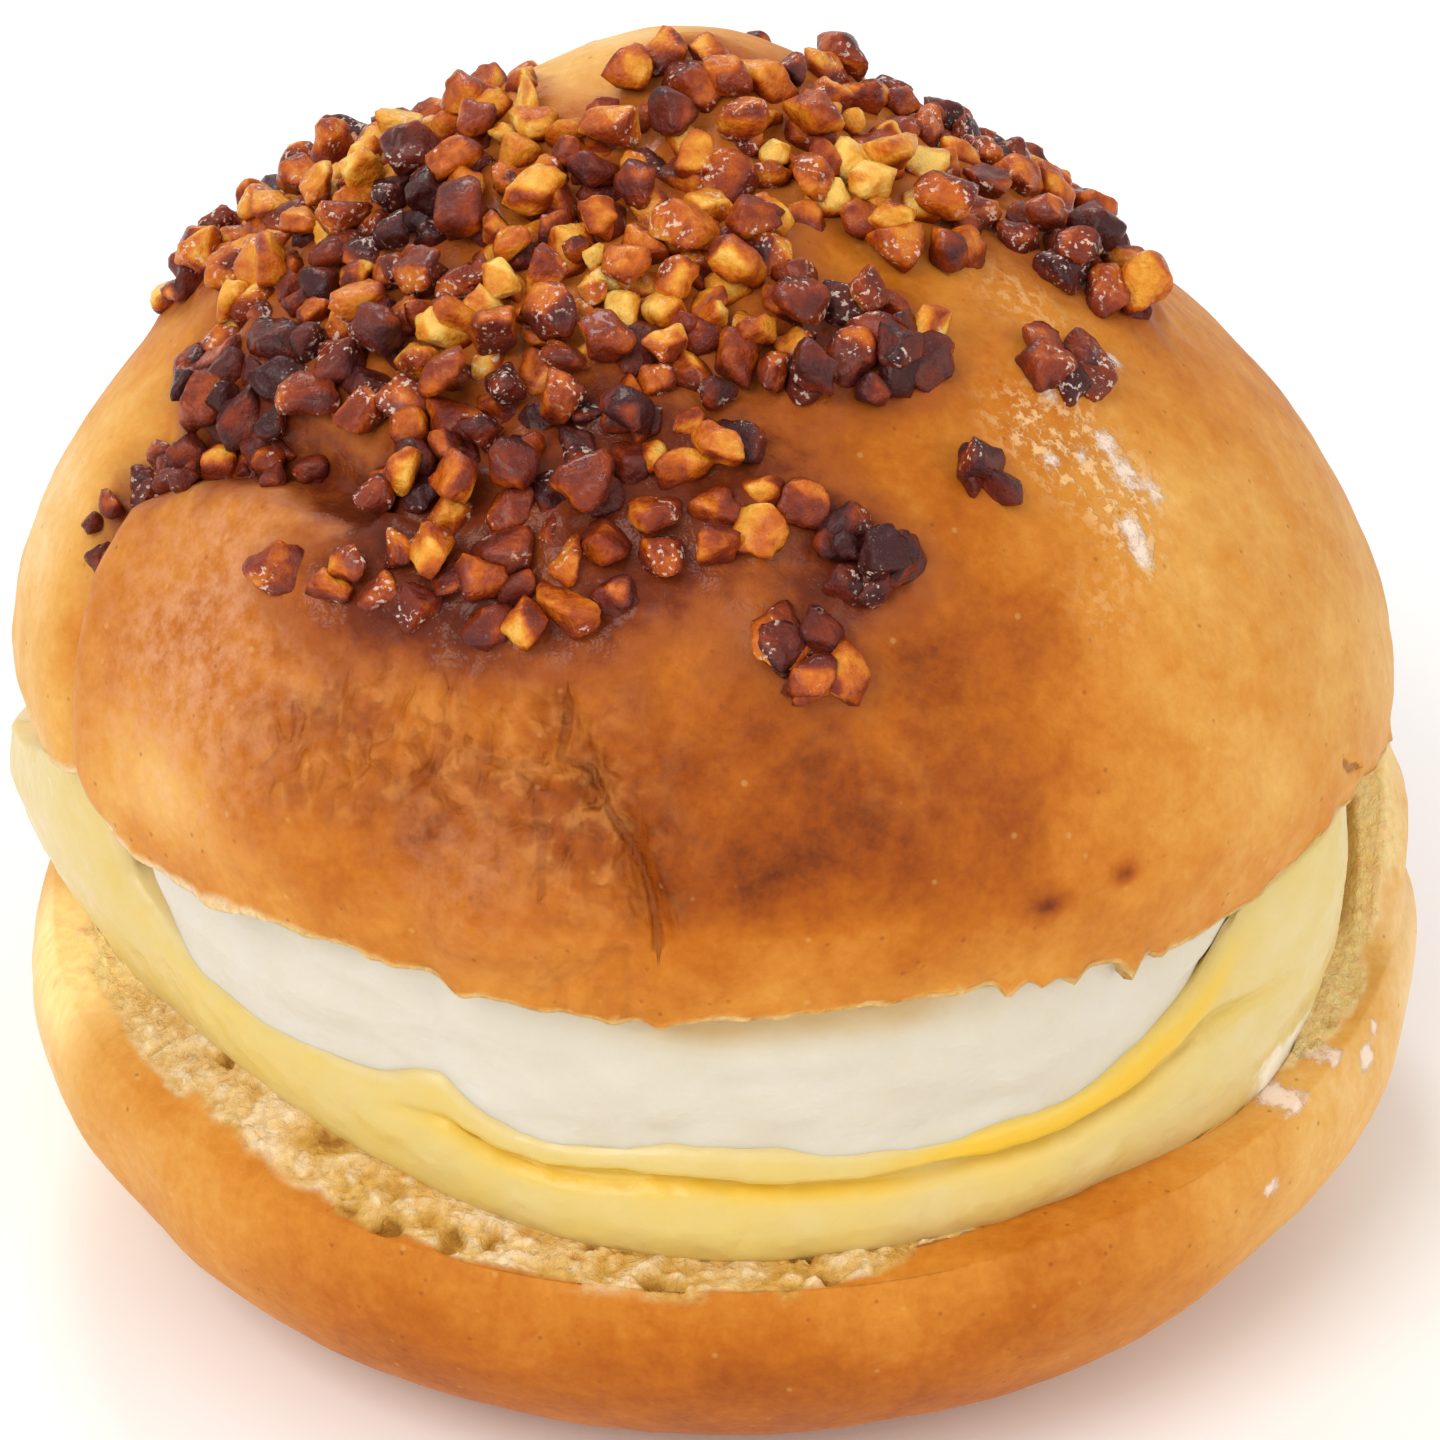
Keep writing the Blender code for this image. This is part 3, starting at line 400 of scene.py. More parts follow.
CRUMB_SMALL_HOLES = (0.0011, 43, 0.5)
SMALL_HOLE_DEPTH = 0.00030
CRUMB_FIBRES = (0.0019, 53, 3)
FIBRE_HEIGHT = 0.00040
CRUMB_LUMPS = (0.0017, 47, 0.8)
LUMP_HEIGHT = 0.00045
SOAK_CLOUDS = (0.0055, 39)
# azimuths, here from -180 to 180, where crumb is calm, gets painted light, and has custard streaks
CALM_CRUMB = (-26.0, -14.0, 30.0, 60.0)
LIT_CRUMB = (-40.0, -30.0, 30.0, 60.0)
YOLK_BAND = (-42.0, -32.0, 30.0, 60.0)
CUSTARD_WAVES = (0.0075, 61)
CUSTARD_WAVE_HEIGHT = 0.00030
CUSTARD_BUMPS = (0.0018, 63)
CUSTARD_BUMP_HEIGHT = 0.00010
BEAD_ROUND = 0.7
UPPER_BEAD = 0.6              # the upper bead's bulge, as a share of the lower one's
CREASE_WIDE = 0.0006
GOLD_WIDE = 0.0009
GOLDEN = (-82.0, -66.0, -48.0, -38.0)           # azimuths where its upper edge is golden
TUCK_DEPTH = 0.0004           # how far its upper edge draws back,
TUCK_SHARE = 0.93             # and the share of its height above which it does
HIDDEN_STEPS = (6, 2, 1)      # rings between the rings of the custard's hidden side
CREAM_WAVES = (0.0085, 71)
CREAM_WAVE_HEIGHT = 0.00045
CREAM_BUMPS = (0.0022, 73)
CREAM_BUMP_HEIGHT = 0.00010
CREAM_SPREAD_SHARE = 0.14
# the cream's upper edge takes the most painted shadow of the lid at these azimuths
LID_SHADOW_ON_CREAM = (-105.0, -92.0, -76.0, -62.0)    # azimuths where its upper edge is yellower

# ---- camera and stage
CAMERA_TARGET = np.array([-0.0003, 0.0, 0.0362])
CAMERA_DISTANCE = 0.400
CAMERA_ELEVATION = 35.3
CAMERA_LENS = 131.5
CAMERA_SENSOR = 36.0
CAMERA_CLIP = 0.01
FLOOR_HALF = 3.0
FLOOR_CORNERS = ((-1, -1), (1, -1), (1, 1), (-1, 1))
WORLD_STRENGTH = 0.70
# name, place, half-size, power and colour of each soft light
LIGHTS = {
    "key": ((-0.42, -0.50, 0.75), 0.26, 4.4, (1.0, 0.98, 0.95)),
    "fill": ((0.60, -0.45, 0.45), 0.30, 1.7, (1.0, 0.98, 0.95)),
    "back": ((-0.15, 0.62, 0.55), 0.10, 1.8, (1.0, 1.0, 1.0)),
}


# ---- curves and shapes that the solids have too

def clipped(value):
    """The value, kept between 0 and 1."""
    return np.clip(value, 0.0, 1.0)


def ease(low, high, value):
    """0 below low, 1 above high, and a smooth step between them."""
    share = clipped((value - low) / (high - low))
    return share * share * (3.0 - 2.0 * share)


def bell(value, wide):
    """1 where the value is 0, falling to 0 a few widths away."""
    return np.exp(-(value / wide) ** 2)


def turned(azimuth):
    """The same azimuth, between -180 and 180."""
    return (np.asarray(azimuth, float) + 180.0) % 360.0 - 180.0


def around(azimuth, keys):
    """A smooth closed curve through (azimuth, value) keys, read at an azimuth."""
    at, value = np.array(keys, float).T
    step = np.append(at[1:], at[0] + 360.0) - at
    rise = (np.roll(value, -1) - value) / step
    slope = (rise * np.roll(step, 1) + np.roll(rise, 1) * step) / (step + np.roll(step, 1))
    azimuth = (np.asarray(azimuth, float) - at[0]) % 360.0 + at[0]
    index = np.clip(np.searchsorted(at, azimuth, side="right") - 1, 0, len(at) - 1)
    after = (index + 1) % len(at)
    share = (azimuth - at[index]) / step[index]
    bend = share * share * (3.0 - 2.0 * share)
    start = slope[index] * share * step[index] * (1.0 - share) ** 2
    finish = slope[after] * step[index] * share * share * (share - 1.0)
    return value[index] * (1.0 - bend) + value[after] * bend + start + finish


def within(value, limits):
    """1 between the inner two of four limits, fading to 0 at the outer two."""
    return ease(*limits[:2], value) * (1.0 - ease(*limits[2:], value))


def shown(azimuth, limits):
    """The same for azimuths from 0 to 360."""
    return within(np.asarray(azimuth, float) % 360.0, limits)


def on_circle(azimuth, radius, height):
    """Points at a radius and a height round the bun's axis."""
    angle = np.radians(azimuth)
    return np.stack(np.broadcast_arrays(
        radius * np.cos(angle), radius * np.sin(angle), height), axis=-1)


def off_axis(points):
    """How far points lie from the vertical axis."""
    return np.hypot(points[..., 0], points[..., 1])


def oval(azimuth, radius_x, radius_y):
    """Radius of an oval at an azimuth."""
    angle = np.radians(azimuth)
    return radius_x * radius_y / np.hypot(radius_y * np.cos(angle), radius_x * np.sin(angle))


def mix(first, second, share):
    """first where the share is 0, second where it is 1."""
    return first + (second - first) * share


def swelling(azimuth, rise, swells):
    """Sum of the swells in a crust at an azimuth and a rise."""
    total = np.zeros(np.broadcast(azimuth, rise).shape)
    for middle, level, wide, tall, height in swells.values():
        off = (turned(azimuth - middle) / wide) ** 2 + ((rise - level) / tall) ** 2
        total = total + height * np.exp(-off)
    return total


def hinge(azimuth):
    """1 where the bun isn't cut through, 0 where it is."""
    return within(turned(azimuth), HINGE)


def base_crust(azimuth, rise):
    """The lower half's crust, from its flat underside, rise 0, to its rim, rise 1."""
    azimuth, rise = np.broadcast_arrays(np.asarray(azimuth, float), np.asarray(rise, float))
    below = clipped(rise / BASE_BELLY_RISE)
    above = clipped((rise - BASE_BELLY_RISE) / (1.0 - BASE_BELLY_RISE))
    angle = (below - 1.0) * math.pi / 2.0
    flat = BASE_FLAT / BASE_RADIUS_X
    ring = flat + (1.0 - flat) * np.cos(angle) ** BASE_ROUND - BASE_RIM_INSET * above ** 2
    swell = swelling(azimuth, rise, BASE_SWELLS) * ease(0.0, BASE_SWELL_FADE, rise)
    radius = oval(azimuth, BASE_RADIUS_X, BASE_RADIUS_Y) * ring + swell
    z = BASE_BELLY * (1.0 + np.sin(angle)) + (BASE_CUT - BASE_BELLY) * above
    return on_circle(azimuth, radius, z)


def crumb_height(azimuth):
    """Height of the cut face where the custard starts."""
    middle, spread, height = CRUMB_MOUND
    return BASE_CUT + height * bell(turned(azimuth - middle), spread)


def lid_turn():
    """The lid's rotation, as a 3 by 3 matrix: a roll about Y and then a tilt about X."""
    across, up = math.cos(math.radians(LID_ROLL)), math.sin(math.radians(LID_ROLL))
    along, rise = math.cos(math.radians(LID_TILT)), math.sin(math.radians(LID_TILT))
    roll = np.array([[across, 0.0, up], [0.0, 1.0, 0.0], [-up, 0.0, across]])
    tilt = np.array([[1.0, 0.0, 0.0], [0.0, along, rise], [0.0, -rise, along]])
    return tilt @ roll


def lid_place(points):
    """Points of the lid's own frame, whose z is 0 on its cut face, in the bun's frame."""
    return points @ lid_turn().T + LID_MIDDLE


def lid_dome(azimuth, rise):
    """The lid's crust without folds, and its rough outward direction."""
    azimuth, rise = np.broadcast_arrays(np.asarray(azimuth, float), np.asarray(rise, float))
    tuck = math.radians(LID_TUCK)
    angle = tuck + (math.pi / 2.0 - tuck) * rise
    start = -abs(math.sin(tuck)) ** LID_POINT
    level = np.sign(np.sin(angle)) * np.abs(np.sin(angle)) ** LID_POINT
    share = (level - start) / (1.0 - start)
    radius = oval(azimuth, LID_RADIUS_X, LID_RADIUS_Y) * np.maximum(np.cos(angle), 0.0) ** LID_ROUND
    points = on_circle(azimuth, radius, LID_HEIGHT * share)
    points[..., 0] += CROWN_LEAN * share ** 2
    hump_x, hump_y, hump_reach, hump_height = HUMP
    off = np.hypot(points[..., 0] - hump_x, points[..., 1] - hump_y) / hump_reach
    points[..., 2] += hump_height * np.exp(-off ** HUMP_SHARPNESS) * share ** 2
    out = on_circle(azimuth, np.cos(angle), np.sin(angle))
    swell = swelling(azimuth, rise, LID_SWELLS) * ease(0.0, LID_SWELL_FADE, rise)
    return points + out * swell[..., None], out


def beside_path(points, out, path):
    """Distance of the crust's points from a path over it, and whether each is on its right."""
    corners = [lid_dome(azimuth, rise)[0] for azimuth, rise in path]
    nearest = np.full(points.shape[:-1], np.inf)
    right = np.zeros(points.shape[:-1], bool)
    for start, finish in zip(corners[:-1], corners[1:]):
        run = finish - start
        along = np.clip((points - start) @ run / (run @ run), 0.0, 1.0)
        away = points - (start + along[..., None] * run)
        distance = np.linalg.norm(away, axis=-1)
        on_right = np.einsum("...i,...i", away, np.cross(out, run)) < 0.0
        closer = distance < nearest
        right = np.where(closer, on_right, right)
        nearest = np.where(closer, distance, nearest)
    return nearest, right


def fold_height(points, out, fold):
    """How far a fold moves the crust's points along their outward direction."""
    path, depth, width, shoulder, reach = fold
    nearest, right = beside_path(points, out, path)
    valley = bell(nearest, width)
    bank = np.where(right, (1.0 - valley) * bell(nearest, reach), 0.0)
    return shoulder * bank - depth * valley


def lid_crust(azimuth, rise):
    """The lid's crust in its own frame, and its rough outward direction."""
    points, out = lid_dome(azimuth, rise)
    height = np.zeros(points.shape[:-1])
    for fold in LID_FOLDS.values():
        height = height + fold_height(points, out, fold)
    rise = np.broadcast_to(rise, height.shape)
    height = height * ease(0.0, LID_FOLD_FADE, rise)
    return points + out * height[..., None], out


def lid_rim(azimuth):
    """The lid's rim in its own frame."""
    return lid_crust(azimuth, around(azimuth, LID_RIM))[0]


def under_lid(azimuth, radius):
    """Height just under the lid, whose underside runs straight from its middle to its rim."""
    turn = lid_turn()
    place = on_circle(azimuth, radius, LID_MIDDLE[2])
    for _ in range(UNDERSIDE_PASSES):
        own = (place - LID_MIDDLE) @ turn
        rim = lid_rim(np.degrees(np.arctan2(own[..., 1], own[..., 0])))
        share = off_axis(own) / off_axis(rim)
        place[..., 2] += (rim[..., 2] * share - own[..., 2]) / turn[2, 2]
    return place[..., 2] - LIP_GAP


def crust_place(x, y):
    """The point over a place of the spread crust, and the crust's outward normal there."""
    x = x + LID_PROBE * np.array([0, 1, -1, 0, 0])
    y = y + LID_PROBE * np.array([0, 0, 0, 1, -1])
    rise = 1.0 - np.hypot(x, y) / LID_MAP
    points = lid_crust(np.degrees(np.arctan2(y, x)), rise)[0]
    out = np.cross(points[1] - points[2], points[3] - points[4])
    return points[0], out / np.linalg.norm(out)


def patch_spot(draw, patch, spread, sizes):
    """A random place in a patch of nuts, in metres of the spread crust, and a half length."""
    x, y, long, wide, turn = patch[:5]
    reach = spread * math.sqrt(draw.random())
    angle = 2.0 * math.pi * draw.random()
    size = mix(*sizes, draw.random())
    along, aside = reach * long * math.cos(angle), reach * wide * math.sin(angle)
    tilt = math.radians(turn)
    return ((x + along * math.cos(tilt) - aside * math.sin(tilt)) * MM,
            (y + along * math.sin(tilt) + aside * math.cos(tilt)) * MM, size)


def chopped_nut(draw, x, y, size, layer):
    """One chopped nut that lies on the crust, or on the nuts below it."""
    place, out = crust_place(x, y)
    index = np.arange(NUT_CORNERS)
    height = 1.0 - (2.0 * index + 1.0) / NUT_CORNERS
    angle = math.pi * (3.0 - math.sqrt(5.0)) * index
    wide = np.sqrt(1.0 - height ** 2)
    corners = np.stack([wide * np.cos(angle), wide * np.sin(angle), height], axis=1)
    corners = corners + draw.normal(0.0, NUT_JITTER, (NUT_CORNERS, 3))
    corners = corners / np.linalg.norm(corners, axis=1, keepdims=True)
    corners = corners * np.array([1.0, NUT_WIDE, NUT_THICK]) * size
    up = out + draw.normal(0.0, NUT_TILT, 3)
    up = up / np.linalg.norm(up)
    side = np.cross(up, draw.normal(0.0, 1.0, 3))
    side = side / np.linalg.norm(side)
    middle = place + out * (size * NUT_THICK * (1.0 - NUT_SUNK) + layer * NUT_LIFT)
    return {"x": x, "y": y, "layer": layer, "size": size,
            "corners": middle + corners @ np.stack([side, np.cross(up, side), up])}


def nut_bed():
    """Every chopped nut that the solids have or could have."""
    draw = np.random.default_rng(NUT_SEED)
    nuts = []
    for patch in NUT_PATCHES.values():
        for layer, wanted in enumerate(patch[5:]):
            tries = 0
            while wanted > 0 and tries < NUT_TRIES:
                tries += 1
                x, y, size = patch_spot(draw, patch, 1.0, NUT_SIZE)
                if all(math.hypot(x - nut["x"], y - nut["y"]) >= NUT_SPACING * (size + nut["size"])
                       for nut in nuts if nut["layer"] == layer):
                    wanted -= 1
                    nuts.append(chopped_nut(draw, x, y, size, layer))
    return nuts


# ---- noise over points

def scatter(cell, seed):
    """A value from 0 to 1 for each whole-numbered cell, the same one every time."""
    key = cell.astype(np.int64).astype(np.uint64)
    mixed = key[..., 0] * np.uint64(73856093) ^ key[..., 1] * np.uint64(19349663)
    mixed = (mixed ^ key[..., 2] * np.uint64(83492791)) + np.uint64(seed * 2654435761)
    for factor, shift in ((2246822519, 15), (3266489917, 13), (668265263, 16)):
        mixed = mixed & np.uint64(0xFFFFFFFF)
        mixed = (mixed ^ mixed >> np.uint64(shift)) * np.uint64(factor)
    return (mixed & np.uint64(0xFFFFFF)) / float(0xFFFFFF)


def noise(points, size, seed, octaves=2):
    """Smooth noise between about -1 and 1, whose grains are about that size across."""
    total = np.zeros(points.shape[:-1])
    for octave in range(octaves):
        place = points * 2.0 ** octave / size
        cell = np.floor(place)
        share = place - cell
        share = share * share * (3.0 - 2.0 * share)
        for corner in itertools.product((0, 1), repeat=3):
            weight = np.prod(np.where(np.array(corner) == 1, share, 1.0 - share), axis=-1)
            value = scatter(cell + np.array(corner), seed + octave)
            total = total + weight * (2.0 * value - 1.0) / 2.0 ** octave
    return total


def drift(points, size, seed):
    """Noise in each of the three directions."""
    return np.stack([noise(points, size, seed + step) for step in (0, 2, 4)], axis=-1)


def bubbles(points, size, seed, share=1.0):
    """1 in the middle of each bubble about that size across, 0 away from them."""
    place = points / size
    cell = np.floor(place)
    nearest = np.full(points.shape[:-1], np.inf)
    for step in itertools.product((-1, 0, 1), repeat=3):
        other = cell + np.array(step)
        middle = other + np.stack([scatter(other, seed + axis) for axis in range(3)], axis=-1)
        radius = mix(0.22, 0.55, scatter(other, seed + 3))
        off = np.linalg.norm(place - middle, axis=-1) / radius
        off = np.where(scatter(other, seed + 4) < share, off, np.inf)
        nearest = np.minimum(nearest, off)
    return clipped(1.0 - nearest ** 2)


def map_spots(x, y, spots):
    """Sum of the spots at places of the spread crust, in millimetres."""
    total = np.zeros(np.shape(x))
    for middle_x, middle_y, reach, amount in spots:
        total = total + amount * np.exp(-((x - middle_x) ** 2 + (y - middle_y) ** 2) / reach ** 2)
    return total


# ---- meshes

def fine_azimuths(count):
    """Azimuths of a fine ring's points, closer together on the side that the photo shows."""
    even = np.arange(count) * 360.0 / count
    turn = np.radians(even - FINEST_AZIMUTH)
    return even - np.degrees(FINEST_SHARE * np.sin(turn))


def ring_normals(rings):
    """Outward direction at every point of a stack of rings."""
    along = np.roll(rings, -1, axis=1) - np.roll(rings, 1, axis=1)
    normal = np.cross(along, np.gradient(rings, axis=0))
    return normal / np.maximum(np.linalg.norm(normal, axis=-1, keepdims=True), TINY)


def moved_out(rings, height):
    """A stack of rings with every point moved along its outward direction."""
    return rings + ring_normals(rings) * height[..., None]


def filled_in(rings, steps):
    """A stack of rings with evenly spaced rings put in between, a number for each gap."""
    made = [rings[:1]]
    for start, finish, count in zip(rings[:-1], rings[1:], steps):
        share = (np.arange(count) + 1.0)[:, None, None] / count
        made.append(mix(start, finish, share))
    return np.concatenate(made)


def make_piece(name, points, faces, material, values, nodes=()):
    """A smooth mesh that rides with the bun, with its values stored at its points."""
    mesh = bpy.data.meshes.new(name)
    mesh.from_pydata(points + SHIFT, [], faces)
    for key, value in values.items():
        stored = mesh.attributes.new(key, "FLOAT", "POINT")
        stored.data.foreach_set("value", np.asarray(value, np.float32).ravel())
    mesh.materials.append(material)
    mesh.shade_smooth()
    piece = bpy.data.objects.new(name, mesh)
    bpy.context.scene.collection.objects.link(piece)
    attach(piece, "root")
    if nodes:
        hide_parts(*nodes)


def ring_piece(name, rings, material, values, slot):
    """A closed piece from a stack of rings, whose ends close onto their own middles."""
    levels, count = rings.shape[:2]
    index = np.arange(levels * count).reshape(levels, count)
    after = np.roll(index, -1, axis=1)
    sides = np.stack([index[:-1], after[:-1], after[1:], index[1:]], axis=-1).reshape(-1, 4)
    low = np.stack([after[0], index[0], np.full(count, levels * count)], axis=-1)
    high = np.stack([index[-1], after[-1], np.full(count, levels * count + 1)], axis=-1)
    points = np.concatenate([rings.reshape(-1, 3), rings[:1].mean(axis=1), rings[-1:].mean(axis=1)])
    stored = {}
    for key, value in values.items():
        value = np.broadcast_to(value, (levels, count))
        stored[key] = np.concatenate([value.ravel(), [value[0].mean(), value[-1].mean()]])
    make_piece(name, points, sides.tolist() + low.tolist() + high.tolist(), material, stored,
               [slot])


# ---- materials

def colour(red, green, blue):
    """An sRGB colour, 0 to 255, as a shader's linear colour."""
    share = np.array([red, green, blue]) / 255.0
    linear = np.where(share <= 0.04045, share / 12.92, ((share + 0.055) / 1.055) ** 2.4)
    return (*linear.tolist(), 1.0)


class Surface:
    """A Principled material, with short calls for the nodes that feed it."""

    def __init__(self, name, constants):
        self.material = bpy.data.materials.new(name)
        self.material.use_nodes = True
        self.tree = self.material.node_tree
        self.shader = self.tree.nodes["Principled BSDF"]
        for socket, value in constants.items():
            self.shader.inputs[socket].default_value = value
        self.place = self.tree.nodes.new("ShaderNodeTexCoord").outputs["Object"]
        self.base = None

    def node(self, kind, inputs, output=0, **settings):
        """One node, whose inputs are values or other nodes' outputs."""
        made = self.tree.nodes.new(kind)
        for key, value in settings.items():
            setattr(made, key, value)
        for key, value in inputs.items():
            self.feed(made.inputs[key], value)
        return made.outputs[output]

    def feed(self, socket, value):
        """Links a node's output to an input, or sets it."""
        if isinstance(value, bpy.types.NodeSocket):
            self.tree.links.new(value, socket)
        else:
            socket.default_value = value

    def stored(self, key):
        """A value stored at the mesh's points."""
        return self.node("ShaderNodeAttribute", {}, "Fac", attribute_name=key)

    def grain(self, size, detail=2.0, roughness=0.5, twist=0.0, squash=1.0):
        """Noise from 0 to 1 whose grains are about that size across, and taller if squashed."""
        place = self.place
        if squash != 1.0:
            place = self.node("ShaderNodeMapping", {"Vector": place, "Scale": (1.0, 1.0, squash)})
        return self.node("ShaderNodeTexNoise", {
            "Vector": place, "Scale": 1.0 / size, "Detail": detail, "Roughness": roughness,
            "Distortion": twist}, "Fac")

    def dots(self, size, reach):
        """1 in the middle of each of many scattered dots, 0 beyond a reach."""
        away = self.node("ShaderNodeTexVoronoi", {
            "Vector": self.place, "Scale": 1.0 / size, "Randomness": 1.0}, "Distance")
        return self.span(away, 0.04, reach, 1.0, 0.0)

    def span(self, value, low, high, start=0.0, finish=1.0):
        """A smooth step from start, where the value is low, to finish, where it is high."""
        return self.node("ShaderNodeMapRange", {
            "Value": value, "From Min": low, "From Max": high, "To Min": start,
            "To Max": finish}, interpolation_type="SMOOTHSTEP")

    def work(self, operation, *values):
        """Arithmetic on values or other nodes' outputs."""
        return self.node("ShaderNodeMath", dict(enumerate(values)), operation=operation)

    def times(self, value, other):
        """value times other."""
        return self.work("MULTIPLY", value, other)

    def sum(self, value, factor, other):
        """value times factor plus other."""
        return self.work("MULTIPLY_ADD", value, factor, other)

    def off(self, value, middle):
        """How far a value lies from a middle."""
        return self.work("ABSOLUTE", self.work("SUBTRACT", value, middle))

    def ramp(self, value, stops):
        """A colour from (place, sRGB colour) stops."""
        made = self.tree.nodes.new("ShaderNodeValToRGB")
        elements = made.color_ramp.elements
        while len(elements) < len(stops):
            elements.new(0.5)
        for element, (place, shade) in zip(elements, stops):
            element.position = place
            element.color = colour(*shade)
        self.feed(made.inputs["Fac"], value)
        return made.outputs["Color"]

    def paint(self, mask, strength, shade):
        """Lays an sRGB colour, or a ramp, over the base by a mask and a strength."""
        shade = colour(*shade) if isinstance(shade, tuple) else shade
        self.base = self.node("ShaderNodeMix", {
            0: self.times(mask, strength), 6: self.base, 7: shade}, 2,
            data_type="RGBA", blend_type="MIX")

    def bump(self, height, distance, below=None):
        """A normal from a height of 0 to 1 that stands for a distance."""
        inputs = {"Height": height, "Distance": distance, "Strength": 1.0}
        if below is not None:
            inputs["Normal"] = below
        return self.node("ShaderNodeBump", inputs, "Normal")

    def done(self, roughness, normal):
        """Feeds the shader and returns the material."""
        self.feed(self.shader.inputs["Base Color"], self.base)
        self.feed(self.shader.inputs["Roughness"], roughness)
        self.feed(self.shader.inputs["Normal"], normal)
        return self.material


CRUST_STOPS = (
    (0.00, (238, 200, 140)), (0.22, (224, 168, 84)), (0.45, (208, 134, 46)),
    (0.66, (184, 101, 18)), (0.85, (150, 70, 8)), (1.00, (94, 38, 8)))
CRUMB_STOPS = (
    (0.00, (252, 232, 212)), (0.32, (240, 204, 142)), (0.66, (220, 170, 84)),
    (1.00, (178, 124, 48)))
CARAMEL_STOPS = (
    (0.00, (196, 116, 44)), (0.30, (164, 84, 30)), (0.62, (114, 48, 22)), (1.00, (64, 24, 18)))
# custard streaks on crumb, lighter and redder than they are: painted light by the hinge
YOLK_LIT_STOPS = (
    (0.32, (255, 230, 160)), (0.52, (255, 219, 138)), (0.62, (255, 211, 146)),
    (0.75, (248, 198, 108)))
NUT_STOPS = (
    (0.00, (242, 198, 98)), (0.20, (226, 152, 44)), (0.40, (196, 97, 18)), (0.58, (142, 53, 14)),
    (0.76, (106, 37, 20)), (0.90, (90, 34, 26)), (1.00, (64, 24, 22)))
CUSTARD_STOPS = (
    (0.00, (224, 206, 160)), (0.35, (217, 191, 113)), (0.70, (227, 189, 68)),
    (1.00, (232, 184, 34)))
# from ivory through yellow to tan, the tan being the painted shadow of the lid
CREAM_AND_SHADOW_STOPS = ((0.00, (218, 211, 197)), (0.50, (211, 198, 170)), (1.00, (200, 170, 120)))
PAPER_STOPS = ((0.0, (250, 250, 249)), (1.0, (253, 253, 252)))
DUST_AND_SHEEN = (222, 160, 118)
SPECKS = (232, 190, 120)
PORES = (122, 62, 26)
# painted shade for the wrinkles' valleys, and painted light for the raised patches
VALLEY_SHADE = (158, 82, 28)
RIDGE_LIGHT = (230, 158, 80)
# painted shade along the cracks
CRACK_SHADE = (122, 56, 18)
FLAKES = (238, 192, 134)
DABS = (246, 226, 210)
STAIN = (144, 68, 32)
SUGAR_GLINTS = (240, 218, 200)
SMEAR = (243, 236, 218)
FOLD_GRAIN = 1.0 / 290.0
STREAK_GRAIN = 1.0 / 900.0
# values that the crust's look reads at the mesh's points
CRUST_KEYS = ("brown", "caramel", "deep_and_shade", "crumb", "soak_and_light", "yolk", "milk", "dry", "pale_sheen",
              "creased", "crack", "cracked")


